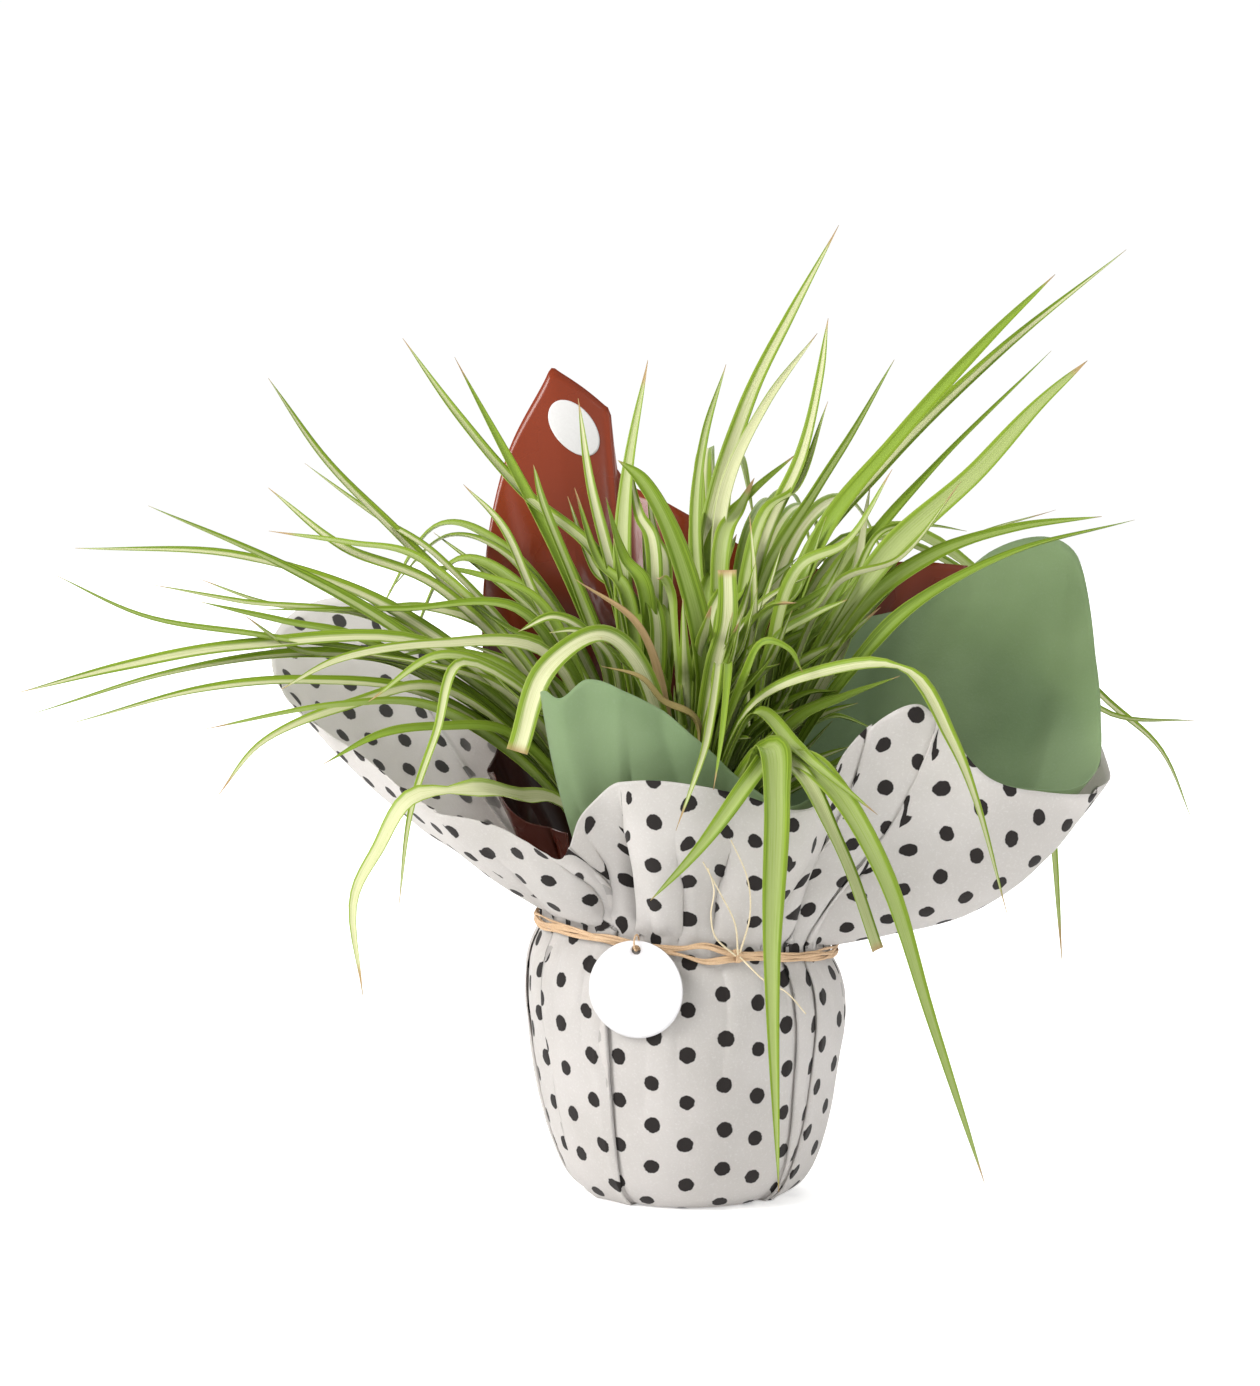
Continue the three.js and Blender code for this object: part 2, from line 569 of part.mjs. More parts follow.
      tip: [985, 1183], depth: -104, width: 11,
    },
    { over: [[755, 714, -56], [794, 746, -82], [820, 768, -101]], tip: [877, 815], depth: -112, width: 8 },
    { over: [[718, 664, -60], [706, 740, -92], [696, 776, -107]], tip: [677, 831], depth: -112, width: 4 },
    { over: [[726, 684, -70], [720, 741, -95]], tip: [713, 790], depth: -106, width: 4 },
    {
      over: [[752, 708, -50], [816, 676, -60], [905, 670, -76], [950, 740, -88], [975, 800, -95]],
      tip: [1008, 916], depth: -98, width: 9,
    },
    { over: [[796, 722, -45], [847, 696, -52]], tip: [900, 676], depth: -58, width: 7 },
  ],
};

// The rest of each rosette, in bands drawn from a seed: how many leaves stand between two angles,
// how high their crests are, how far they reach and how far their tips are above or below the
// crest. The bands at the back arch over the low stretches of the red sheet's rim.
const FILL = {
  west: [
    { count: 6, seed: 17, from: 160, to: 197, crest: [235, 280], reach: [115, 165], droop: [-22, 12] },
  ],
  north_west: [
    { count: 4, seed: 23, from: 104, to: 142, crest: [270, 320], reach: [60, 85], droop: [5, 40] },
    { count: 3, seed: 29, from: 138, to: 144, crest: [276, 296], reach: [170, 205], droop: [-60, -15] },
    { count: 2, seed: 67, from: 106, to: 140, crest: [235, 285], reach: [45, 64], droop: [10, 50] },
  ],
  north_east: [
    { count: 5, seed: 37, from: 34, to: 88, crest: [265, 315], reach: [55, 85], droop: [5, 40] },
    { count: 4, seed: 43, from: 56, to: 74, crest: [300, 312], reach: [165, 200], droop: [-70, -20] },
    { count: 2, seed: 47, from: 76, to: 88, crest: [320, 332], reach: [160, 185], droop: [-60, -15] },
    { count: 2, seed: 71, from: 40, to: 80, crest: [225, 290], reach: [38, 60], droop: [5, 45] },
  ],
  east: [
    { count: 5, seed: 41, from: -13, to: 16, crest: [240, 290], reach: [70, 125], droop: [0, 40] },
  ],
  south: [
    { count: 6, seed: 53, from: 232, to: 322, crest: [238, 275], reach: [40, 66], droop: [0, 32] },
    { count: 2, seed: 79, from: 236, to: 320, crest: [210, 250], reach: [34, 52], droop: [5, 35] },
  ],
};

// A repeatable run of numbers from 0 to 1.
function numbersFrom(seed) {
  let state = seed;
  return () => {
    state = (state * 16807) % 2147483647;
    return state / 2147483647;
  };
}

// Leaves of a crown that the photograph hides or shows only in a mass. Each rises to its crest
// and arches over.
function filling({ count, seed, from, to, crest, reach, droop }) {
  const next = numbersFrom(seed);
  return Array.from({ length: count }, (_, i) => {
    const angle = lerp(from, to, (i + 0.2 + 0.6 * next()) / count);
    const far = lerp(...reach, next());
    const high = lerp(...crest, next());
    const end = high + lerp(...droop, next());
    const width = 6 + 3 * next();
    return {
      points: [polar(angle, far * 0.55, high - 12), polar(angle, far * 0.78, high), polar(angle, far, end)],
      width,
    };
  });
}

// A seen leaf's points, with the depth of each filled in.
function traced(leaf, centre) {
  const places = [...leaf.over, leaf.tip];
  return places.map(([px, py, own], i) => {
    const even = lerp(centre.y, leaf.depth, (i + 1) / places.length);
    const depth = own ?? (i === places.length - 1 ? leaf.depth : even);
    return fromPhoto(px, py, depth);
  });
}

// A leaf's middle line: out of the crown, up, and over its points. Steep leaves stand in the
// middle of the crown and low ones round its edge, as in a rosette.
function middleLine(points, centre) {
  const first = points[0];
  const heading = Math.atan2(first.y - centre.y, first.x - centre.x);
  const away = Math.hypot(first.y - centre.y, first.x - centre.x);
  const steep = Math.atan2(first.z - LEAF_ROOT.height, away) / (Math.PI / 2);
  const ring = lerp(LEAF_ROOT.outerRing, LEAF_ROOT.innerRing, steep);
  const axis = new THREE.Vector3(centre.x, centre.y, 0);
  const along = (distance, height) => polar(THREE.MathUtils.radToDeg(heading), distance, height).add(axis);
  const root = along(ring, LEAF_ROOT.height);
  const rise = along(lerp(ring, away, 0.3), lerp(LEAF_ROOT.height, first.z, 0.62));
  return new THREE.CatmullRomCurve3([root, rise, ...points], false, "centripetal");
}

// How wide a blade is along its length, as a share of its greatest width.
function bladeShare(along, cut) {
  const grow = Math.min(1, 0.3 + 1.6 * along);
  const taper = cut ? 1 - 0.25 * along : (1 - along ** 2.6) ** 0.9;
  return grow * taper;
}

// A keeled blade: its two edges stand above its keel, and it narrows to a point.
function blade(line, width, cut) {
  const rings = [];
  const tip = line.getPoint(1);
  const foot = line.getPoint(0);
  const across = new THREE.Vector3(foot.y - tip.y, tip.x - foot.x, 0).normalize();
  const steps = line.points.length - 2 + LEAF.extraSteps;
  const last = cut ? steps : steps - 1;
  for (let i = 0; i <= last; i += 1) {
    const along = i / steps;
    const centre = line.getPoint(along);
    const tangent = line.getTangent(along);
    const side = across.clone().addScaledVector(tangent, -across.dot(tangent)).normalize();
    const up = tangent.clone().cross(side).normalize();
    const half = (width * LEAF.fullness * bladeShare(along, cut)) / 2;
    const channel = rad(LEAF.channel * (1 - 0.5 * along));
    const lift = half * Math.sin(channel);
    const spread = half * Math.cos(channel);
    rings.push([
      centre.clone().addScaledVector(side, -spread).addScaledVector(up, lift),
      centre.clone().addScaledVector(up, -LEAF.keel / 2),
      centre.clone().addScaledVector(side, spread).addScaledVector(up, lift),
    ]);
  }
  if (!cut) rings.push([tip, tip, tip]);
  return tubeSolid(rings, false);
}

// A crown: a short stub in the soil with every one of its leaves grown out of it.
function crownSolid(name) {
  const centre = crownCentre(CROWNS[name]);
  const { stubRadius, stubTop, depth } = CROWN;
  const bottom = SOIL.top - depth + CROWN.holeClearance;
  const profile = [
    [0, bottom], [stubRadius * 0.5, bottom], [stubRadius, bottom + 8],
    [stubRadius, stubTop - 5], [stubRadius * 0.6, stubTop], [0, stubTop],
  ];
  const stub = turned(profile, 14).translate([centre.x, centre.y, 0]);
  const seen = SEEN[name].map((leaf) => ({ ...leaf, points: traced(leaf, centre) }));
  const whole = [...seen, ...FILL[name].flatMap(filling)]
    .map(({ points, width, cut }) => blade(middleLine(points, centre), width, cut))
    .reduce((all, leaf) => all.add(leaf), stub);
  return largest(whole);
}

// The outer skin of the largest body, with any hollow that the joining sealed filled in and its
// slivers taken out.
function largest(made) {
  const larger = (one, other) => (other.volume() > one.volume() ? other : one);
  const outerSkin = (whole) => whole.decompose().reduce(larger);
  return outerSkin(outerSkin(made).simplify(LEAF.sliver));
}

// ---------------------------------------------------------------- the whole plant

const MATERIALS = {
  pot: { color: 0x6b3a26, roughness: 0.6, metalness: 0 },
  soil: { color: 0x2c211a, roughness: 1, metalness: 0 },
  dotted: { color: 0xcdc8c3, roughness: 0.85, metalness: 0 },
  green: { color: 0x7d966e, roughness: 0.8, metalness: 0 },
  red: { color: 0x823c23, roughness: 0.3, metalness: 0 },
  twine: { color: 0xc4a078, roughness: 0.9, metalness: 0 },
  card: { color: 0xefedeb, roughness: 0.6, metalness: 0 },
  leaf: { color: 0x7a9635, roughness: 0.5, metalness: 0 },
};

const group = new THREE.Group();

function addPiece(name, made, finish) {
  const mesh = new THREE.Mesh(geometryOf(made), new THREE.MeshStandardMaterial(MATERIALS[finish]));
  mesh.name = name;
  group.add(mesh);
}

const redInset = SHEET.thickness + SHEET.gap;
const greenInset = 2 * redInset;

addPiece("pot", pot(), "pot");
addPiece("soil", soil(Object.values(CROWNS)), "soil");
addPiece("dotted_wrap", dottedWrap(), "dotted");
addPiece("green_sheet", tuckedSheet(GREEN_RIM, greenInset), "green");
addPiece("red_sheet", tuckedSheet(RED_RIM, redInset), "red");
addPiece("twine_tie", twineTie(), "twine");
addPiece("tag", tag(), "card");
addPiece("sticker", sticker(redInset), "card");
for (const name of Object.keys(CROWNS)) addPiece(`crown_${name}`, crownSolid(name), "leaf");

export default group;
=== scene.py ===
# %% [markdown]
# # A gift-wrapped spider plant
#
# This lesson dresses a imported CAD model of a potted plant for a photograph. The model gives the
# sizes and places, and each step below puts a finer piece or a finish on it: a camera and light,
# the twine, three wrapping sheets, the pot with its soil, and about two hundred striped leaves.
# Lengths are typed in millimetres, as on the part's drawing, and turned into metres at the end.

import math

import bpy
import numpy as np
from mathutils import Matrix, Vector
from mathutils.bvhtree import BVHTree


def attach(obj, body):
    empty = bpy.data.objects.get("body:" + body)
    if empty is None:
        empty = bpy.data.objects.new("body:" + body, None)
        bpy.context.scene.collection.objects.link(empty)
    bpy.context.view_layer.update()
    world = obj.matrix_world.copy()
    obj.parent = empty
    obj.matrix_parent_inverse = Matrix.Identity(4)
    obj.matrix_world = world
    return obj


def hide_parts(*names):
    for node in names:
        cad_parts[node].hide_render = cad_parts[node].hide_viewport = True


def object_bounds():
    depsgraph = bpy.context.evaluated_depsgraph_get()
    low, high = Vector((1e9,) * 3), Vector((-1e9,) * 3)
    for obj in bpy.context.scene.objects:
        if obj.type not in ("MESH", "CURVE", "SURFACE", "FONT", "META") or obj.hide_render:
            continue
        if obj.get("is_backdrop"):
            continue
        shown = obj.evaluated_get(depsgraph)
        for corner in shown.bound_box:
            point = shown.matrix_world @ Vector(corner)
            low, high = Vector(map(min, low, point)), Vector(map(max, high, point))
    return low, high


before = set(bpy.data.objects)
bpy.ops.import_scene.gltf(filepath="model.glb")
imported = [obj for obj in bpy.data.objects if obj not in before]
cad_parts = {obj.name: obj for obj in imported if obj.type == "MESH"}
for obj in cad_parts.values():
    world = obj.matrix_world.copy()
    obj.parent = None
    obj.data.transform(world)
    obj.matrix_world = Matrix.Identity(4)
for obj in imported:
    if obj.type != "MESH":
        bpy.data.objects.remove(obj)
cad_low, cad_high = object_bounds()
MM = 0.001
print("nodes:", sorted(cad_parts))
print("CAD box in metres:", [round(x, 3) for x in (*cad_low, *cad_high)])

# %% [markdown]
# ## The camera
#
# The photograph was taken from nearly level with the plant, a little above it and from about a
# metre and a half away. A long lens there keeps the pot's sides parallel. The camera could be
# aimed by hand, but four numbers say the same thing and let later steps find the place in the
# model of any pixel of the picture.

# %% Camera at the photograph's angle
PICTURE = {"wide": 1260, "high": 1386, "mm_per_pixel": 0.444}
VIEW = {"distance": 1500, "tilt": math.radians(4), "aim": np.array([-25.0, 0.0, 222.0])}
SENSOR = 36

eye_offset = np.array([0, -math.cos(VIEW["tilt"]), math.sin(VIEW["tilt"])])
eye = VIEW["aim"] + VIEW["distance"] * eye_offset
lens = bpy.data.cameras.new("camera")
lens.sensor_width = SENSOR
lens.lens = SENSOR * VIEW["distance"] / (PICTURE["high"] * PICTURE["mm_per_pixel"])
camera = bpy.data.objects.new("camera", lens)
camera.location = Vector(eye) * MM
camera.rotation_euler = (math.pi / 2 - VIEW["tilt"], 0, 0)
bpy.context.scene.collection.objects.link(camera)
bpy.context.scene.camera = camera
print("eye in mm:", eye.round(), "lens:", round(lens.lens, 1))

# %% From a pixel of the photograph to a place in the model
def from_photo(px, py, depth):
    rise = (PICTURE["high"] / 2 - py) * PICTURE["mm_per_pixel"] / VIEW["distance"]
    cos = math.cos(VIEW["tilt"])
    sin = math.sin(VIEW["tilt"])
    height = VIEW["distance"] * rise + depth * (rise * cos - sin)
    height = height / (cos + rise * sin)
    away = VIEW["distance"] + depth * cos - height * sin
    side = (px - PICTURE["wide"] / 2) * PICTURE["mm_per_pixel"] * away / VIEW["distance"]
    return np.array([VIEW["aim"][0] + side, depth, VIEW["aim"][2] + height])


print("the knot of the twine:", from_photo(700, 947, -69).round(1))

# %% [markdown]
# ## Floor and light
#
# The picture is a catalogue shot: plain white all round, and soft light from large panels. A wide
# pale disc is the floor. The room has white walls and a darker ceiling, so that most of the light
# comes from the panels and the folds keep their shade. The floor glows like a light table, more
# so far from the lamps, and meets the walls without a line. Three area lamps stand for the panels,
# and the back one shines through the leaves.

# %% Turning rows and columns of points into faces
def grid_faces(columns, rows, around):
    """Quads over a grid whose point (c, r) has the index c * rows + r."""
    last = columns if around else columns - 1
    c, r = np.meshgrid(np.arange(last), np.arange(rows - 1), indexing="ij")
    d = (c + 1) % columns
    quads = [c * rows + r, d * rows + r, d * rows + r + 1, c * rows + r + 1]
    return np.stack(quads, -1).reshape(-1, 4)


def unit(vectors):
    return vectors / np.maximum(np.linalg.norm(vectors, axis=-1, keepdims=True), 1e-9)


def mesh_object(name, points, faces, smooth=True):
    mesh = bpy.data.meshes.new(name)
    mesh.from_pydata((np.asarray(points) * MM).tolist(), [], [list(map(int, f)) for f in faces])
    mesh.validate()
    mesh.polygons.foreach_set("use_smooth", [smooth] * len(mesh.polygons))
    made = bpy.data.objects.new(name, mesh)
    bpy.context.scene.collection.objects.link(made)
    return made


# %% Node helpers for the finishes
def new_finish(name):
    material = bpy.data.materials.new(name)
    material.use_nodes = True
    return material, material.node_tree, material.node_tree.nodes["Principled BSDF"]


def node(tree, kind, inputs=(), **settings):
    made = tree.nodes.new(kind)
    for key, value in settings.items():
        setattr(made, key, value)
    for key, value in dict(inputs).items():
        plug(tree, made.inputs[key], value)
    return made


def plug(tree, socket, value):
    if isinstance(value, bpy.types.NodeSocket):
        tree.links.new(value, socket)
    else:
        socket.default_value = value


def sums(tree, operation, a, b=0.0):
    return node(tree, "ShaderNodeMath", {0: a, 1: b}, operation=operation).outputs[0]


def times(tree, a, b):
    return sums(tree, "MULTIPLY", a, b)


def plus(tree, a, b):
    return sums(tree, "ADD", a, b)


def minus(tree, a, b):
    return sums(tree, "SUBTRACT", a, b)


def ease(tree, value, low, high):
    """From 0 to 1 as the value goes from low to high, with soft ends."""
    kind = "ShaderNodeMapRange"
    return node(tree, kind, {0: value, 1: low, 2: high}, interpolation_type="SMOOTHSTEP").outputs[0]


def ramp(tree, value, start, end, low=0.0, high=1.0):
    """From start to end as the value goes from low to high, in a straight line."""
    return node(tree, "ShaderNodeMapRange", {0: value, 1: low, 2: high, 3: start, 4: end}).outputs[0]


def blend(tree, share, a, b):
    return node(tree, "ShaderNodeMix", {0: share, 6: a, 7: b}, data_type="RGBA").outputs[2]


def noise(tree, where, scale, detail=3.0, roughness=0.5):
    inputs = {"Vector": where, "Scale": scale, "Detail": detail, "Roughness": roughness}
    return node(tree, "ShaderNodeTexNoise", inputs).outputs[0]


def bump(tree, shader, height, strength, distance):
    made = node(tree, "ShaderNodeBump", {"Height": height, "Strength": strength, "Distance": distance})
    tree.links.new(made.outputs[0], shader.inputs["Normal"])


def places(tree):
    return node(tree, "ShaderNodeTexCoord").outputs["Object"]


def attribute(tree, name, output="Fac"):
    return node(tree, "ShaderNodeAttribute", attribute_name=name).outputs[output]


def parts(tree, vector):
    """The three numbers of a place."""
    return node(tree, "ShaderNodeSeparateXYZ", {0: vector}).outputs


def paint(tree, shader, tone, pattern, smooth, rough):
    """The finish's colour, and a roughness that follows a pattern between two values."""
    tree.links.new(tone, shader.inputs["Base Color"])
    tree.links.new(ramp(tree, pattern, smooth, rough), shader.inputs["Roughness"])


def lit_from_behind(tree, shader, share, tint):
    """Mixes light that comes through a thin piece into its finish."""
    glow = node(tree, "ShaderNodeBsdfTranslucent", {"Color": tint})
    mixed = node(tree, "ShaderNodeMixShader", {0: share, 1: shader.outputs[0], 2: glow.outputs[0]})
    tree.links.new(mixed.outputs[0], tree.nodes["Material Output"].inputs[0])


# Colours are typed as 8-bit screen values and turned into linear light.
def colour(red, green, blue):
    def linear(value):
        share = value / 255
        return share / 12.92 if share <= 0.04045 else ((share + 0.055) / 1.055) ** 2.4

    return (linear(red), linear(green), linear(blue), 1.0)


# %% The floor
FLOOR = {"radius": 9000, "columns": 96, "rows": 14, "middle": 0.0002}
# The glow's strength near the pot and far from it, and the two distances in metres.
TABLE_GLOW = {"start": 0.3, "end": 0.85, "low": 0.5, "high": 3.2}

turns = np.linspace(0, 2 * math.pi, FLOOR["columns"], endpoint=False)[:, None]
size = FLOOR["radius"] * np.linspace(FLOOR["middle"], 1, FLOOR["rows"])[None, ::-1] ** 2
floor_points = np.stack([size * np.cos(turns), size * np.sin(turns), 0 * size * turns], -1)
floor_points = floor_points.reshape(-1, 3)
floor_faces = [*grid_faces(FLOOR["columns"], FLOOR["rows"], True)]
floor_faces.append(np.arange(FLOOR["columns"]) * FLOOR["rows"] + FLOOR["rows"] - 1)
floor = mesh_object("floor", floor_points, floor_faces)
card_stock, tree, shader = new_finish("pale_floor")
mottle = noise(tree, places(tree), 40.0, 4.0)
tone = blend(tree, mottle, (0.94, 0.94, 0.94, 1), (0.97, 0.97, 0.97, 1))
tree.links.new(tone, shader.inputs["Base Color"])
shader.inputs["Roughness"].default_value = 0.95
shader.inputs["Specular IOR Level"].default_value = 0.1
shader.inputs["Emission Color"].default_value = (1, 1, 1, 1)
position = node(tree, "ShaderNodeNewGeometry").outputs["Position"]
from_pot = node(tree, "ShaderNodeVectorMath", {0: position}, operation="LENGTH").outputs["Value"]
tree.links.new(ramp(tree, from_pot, **TABLE_GLOW), shader.inputs["Emission Strength"])
floor.data.materials.append(card_stock)
floor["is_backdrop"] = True

# %% Three soft panels
def panel(name, place, aim, size, watts, tint):
    lamp = bpy.data.lights.new(name, "AREA")
    lamp.shape = "RECTANGLE"
    lamp.size, lamp.size_y = size
    lamp.energy = watts
    lamp.color = tint
    made = bpy.data.objects.new(name, lamp)
    made.location = place
    made.rotation_euler = (Vector(aim) - Vector(place)).to_track_quat("-Z", "Y").to_euler()
    bpy.context.scene.collection.objects.link(made)


panel("key_panel", (-1.75, -1.0, 1.5), (0, 0, 0.2), (1.1, 1.1), 58, (1.0, 0.99, 0.97))
panel("fill_strip", (1.6, -1.0, 1.15), (0, 0, 0.3), (0.4, 1.3), 8, (0.97, 0.985, 1.0))
panel("back_panel", (0.5, 1.3, 1.5), (0, 0, 0.25), (1.4, 1.0), 14, (1.0, 1.0, 1.0))

# %% The room's own light
# Its strength from the horizon up to the first height, and from the second one up to the zenith.
ROOM_LIGHT = {"start": 1.02, "end": 0.55, "low": 0.3, "high": 0.8}

world = bpy.data.worlds.new("room")
world.use_nodes = True
tree = world.node_tree
background = tree.nodes["Background"]
background.inputs[0].default_value = (1, 1, 1, 1)
skyward = parts(tree, node(tree, "ShaderNodeTexCoord").outputs["Generated"])[2]
tree.links.new(ramp(tree, skyward, **ROOM_LIGHT), background.inputs[1])
bpy.context.scene.world = world
bpy.context.scene.view_settings.view_transform = "Standard"
bpy.context.scene.view_settings.look = "None"
print("room light:", ROOM_LIGHT["start"], "at the horizon and", ROOM_LIGHT["end"], "overhead")

# %% [markdown]
# ## The string
#
# Jute twine goes round the neck and ends in a loose knot, from which thin ends of raffia stand off. Each
# strand is drawn as a flat tube along its own wavy path, so that the strands cross, lie on each other and
# part as in the picture. The raffia ends are free cords. They come early, because what hangs free has to fit
# the picture before anything is dressed round it.

# %% Tubes of oval section along a path
def ring_faces(rings, sides, first=0, closed=False):
    """Quads round a tube whose rings follow each other in the list of points."""
    last = rings if closed else rings - 1
    r, s = np.meshgrid(np.arange(last), np.arange(sides), indexing="ij")
    q, t = (r + 1) % rings, (s + 1) % sides
    quads = np.stack([r * sides + s, q * sides + s, q * sides + t, r * sides + t], -1)
    quads = [*(quads.reshape(-1, 4) + first)]
    if closed:
        return quads
    ends = np.arange(sides) + first
    return [*quads, ends, ends[::-1] + (rings - 1) * sides]


def tube(path, wide, thick, facing, sides=8, closed=False):
    """Half-widths in millimetres. `facing` is the way that the flat side looks."""
    path = np.asarray(path, float)
    along = np.roll(path, -1, 0) - np.roll(path, 1, 0) if closed else np.gradient(path, axis=0)
    along = unit(along)
    facing = np.broadcast_to(np.asarray(facing, float), path.shape)
    facing = unit(facing - along * (facing * along).sum(1, keepdims=True))
    side = np.cross(along, facing)
    turn = np.linspace(0, 2 * math.pi, sides, endpoint=False)
    wide, thick = np.broadcast_to(wide, len(path)), np.broadcast_to(thick, len(path))
    oval = side[:, None] * np.outer(wide, np.cos(turn))[..., None]
    oval = oval + facing[:, None] * np.outer(thick, np.sin(turn))[..., None]
    return (path[:, None] + oval).reshape(-1, 3)


def joined(tubes):
    """Points and faces of several tubes as one piece, from (points, sides, closed) each."""
    points, faces, first = [], [], 0
    for made, sides, closed in tubes:
        faces += ring_faces(len(made) // sides, sides, first, closed)
        points.append(made)
        first += len(made)
    return np.concatenate(points), faces


# %% Strands round the neck
NECK = {"height": 116, "tilt": 7, "radius": 64, "straight": 4}
STRING = {"radius": 67.2, "strands": 7, "thick": 0.36, "knot": 288, "parting": 276, "parted": 2.2}
TAG = {"angle": 252, "radius": 21, "hole": 2.1, "hole_from_edge": 4, "stand_off": 72, "thickness": 0.5}
LOOP = {"radius": 3.4, "hole_down": 1, "middle_up": 3, "thick": 0.4}


def around_axis(angle, radius, height):
    """Points at the given angles in degrees round the pot's axis."""
    a = np.radians(angle)
    return np.stack([radius * np.cos(a), radius * np.sin(a), height + 0 * a], -1)


def neck_height(angle):
    """The string sits a little higher on the left."""
    return NECK["height"] - NECK["tilt"] * np.cos(np.radians(angle))


def round_neck(turn, out, lift):
    return around_axis(turn, STRING["radius"] + out, neck_height(turn) + lift)


rng = np.random.default_rng(4)
turns = np.arange(0, 360, 1.0)
looking_out = round_neck(turns, 0, 0) * (1, 1, 0)
strands = []
for number in range(STRING["strands"]):
    group = -1 if number % 2 else 1
    phase = rng.uniform(0, 6.28, 4)
    a = np.radians(turns)
    wander = 0.55 * np.sin(5 * a + phase[0]) + 0.35 * np.sin(13 * a + phase[1])
    base = group * 0.9 + rng.uniform(-0.7, 0.7)
    parted = group * STRING["parted"] * np.exp(-(((turns - STRING["parting"]) / 7) ** 2))
    lift = base * (1 + 0.3 * np.sin(3 * a + phase[2])) + wander + parted
    out = rng.uniform(-0.5, 0.5) + 0.4 * np.sin(9 * a + phase[3])
    width = rng.uniform(0.45, 0.75) * (1 + 0.25 * np.sin(17 * a + phase[0]))
    path = round_neck(turns, out, lift)
    strands.append((tube(path, width, STRING["thick"], looking_out, 8, True), 8, True))
print("strands round the neck:", len(strands))

# %% The knot and the tag's loop
KNOT = {"turns": 2.6, "points": 90, "middle_out": 0.6, "painted_shade": 1.5, "high": 2.5}
# Where each of the knot's strands starts round it, in radians, and how far it drifts in degrees.
KNOT_STRANDS = ((0.0, 1.5), (1.3, -1.2), (2.6, 0.6))

knot_turn = np.linspace(0, 2 * KNOT["turns"] * math.pi, KNOT["points"])
for start, drift in KNOT_STRANDS:
    across = np.linspace(-drift, drift, len(knot_turn))
    out = KNOT["middle_out"] + KNOT["painted_shade"] * np.cos(knot_turn + start)
    spot = round_neck(STRING["knot"] + across, out, KNOT["high"] * np.sin(knot_turn + start))
    strands.append((tube(spot, 0.55, 0.4, looking_out[STRING["knot"]], 8), 8, False))

hole_height = neck_height(TAG["angle"]) - LOOP["hole_down"]
a = np.linspace(0, 2 * math.pi, 48, endpoint=False)
out = TAG["stand_off"] - STRING["radius"] + LOOP["radius"] * np.cos(a)
lift = LOOP["middle_up"] - LOOP["hole_down"] + LOOP["radius"] * np.sin(a)
loop = round_neck(TAG["angle"] + 0 * a, out, lift)
sideways = around_axis(TAG["angle"] + 90, 1, 0)
strands.append((tube(loop, LOOP["thick"], LOOP["thick"], sideways, 8, True), 8, True))
twine_piece = mesh_object("twine_strands", *joined(strands))
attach(twine_piece, "root")
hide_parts("twine_tie")
print("strands:", len(strands), "knot at", STRING["knot"], "degrees")

# %% The free raffia ends
# Pixels and depths that each end passes over, from the knot outwards.
LOOSE_ENDS = {
    "raffia_left": [(738, 955, -67), (735, 924, -76), (720, 893, -88), (703, 862, -96)],
    "raffia_middle": [(736, 956, -67), (716, 938, -74), (711, 915, -82), (714, 890, -90), (708, 868, -95)],
    "raffia_right": [(740, 953, -66), (750, 915, -78), (747, 877, -92), (731, 840, -101)],
    "raffia_low": [(740, 957, -67), (747, 964, -72), (765, 981, -73), (786, 992, -72), (806, 1014, -71)],
}
RAFFIA = {"diameter": 0.9, "thick": 0.3}


def smooth_curve(points, share):
    """Centripetal, so that it doesn't overshoot where the points lie close together."""
    p = np.asarray(points, float)
    p = np.concatenate([[2 * p[0] - p[1]], p, [2 * p[-1] - p[-2]]])
    spot = np.clip(share, 0, 1) * (len(p) - 3)
    i = np.minimum(spot.astype(int), len(p) - 4)
    w = (spot - i)[:, None]
    a, b, c, d = (p[i + k] for k in range(4))
    ab, bc, cd = (np.linalg.norm(y - x, axis=1)[:, None] ** 0.5 for x, y in ((a, b), (b, c), (c, d)))
    start = ((b - a) / ab - (c - a) / (ab + bc) + (c - b) / bc) * bc
    end = ((c - b) / bc - (d - b) / (bc + cd) + (d - c) / cd) * bc
    return b + start * w + (3 * (c - b) - 2 * start - end) * w**2 + (2 * (b - c) + start + end) * w**3


raffia_pieces = []
for name, spots in LOOSE_ENDS.items():
    path = smooth_curve([from_photo(*spot) for spot in spots], np.linspace(0, 1, 40))
    half = RAFFIA["diameter"] / 2
    taper = half * np.linspace(1, 0.6, len(path))
    made = tube(path, taper, RAFFIA["thick"] / 2, (0.3, -1, 0.2), 8)
    piece = mesh_object(name, *joined([(made, 8, False)]))
    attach(piece, "root")
    raffia_pieces.append(piece)

# %% Jute and raffia finishes
def fibre(name, pale, dark, scale, gloss):
    material, tree, shader = new_finish(name)
    where = places(tree)
    stretched = node(tree, "ShaderNodeMapping", {0: where, 3: (1, 1, 3)}).outputs[0]
    hairs = noise(tree, stretched, scale, 5.0, 0.7)
    patches = noise(tree, where, 60.0, 2.0)
    tone = blend(tree, ease(tree, hairs, 0.3, 0.7), dark, pale)
    tone = blend(tree, times(tree, ease(tree, patches, 0.4, 0.7), 0.4), tone, pale)
    paint(tree, shader, tone, hairs, gloss, gloss + 0.2)
    shader.inputs["Specular IOR Level"].default_value = 0.3
    bump(tree, shader, hairs, 0.6, 0.0004)
    return material


jute = fibre("jute", colour(216, 186, 152), colour(164, 130, 96), 2200.0, 0.7)
twine_piece.data.materials.append(jute)
straw = fibre("raffia_straw", colour(226, 214, 186), colour(196, 178, 140), 1500.0, 0.45)
for piece in raffia_pieces:
    piece.data.materials.append(straw)

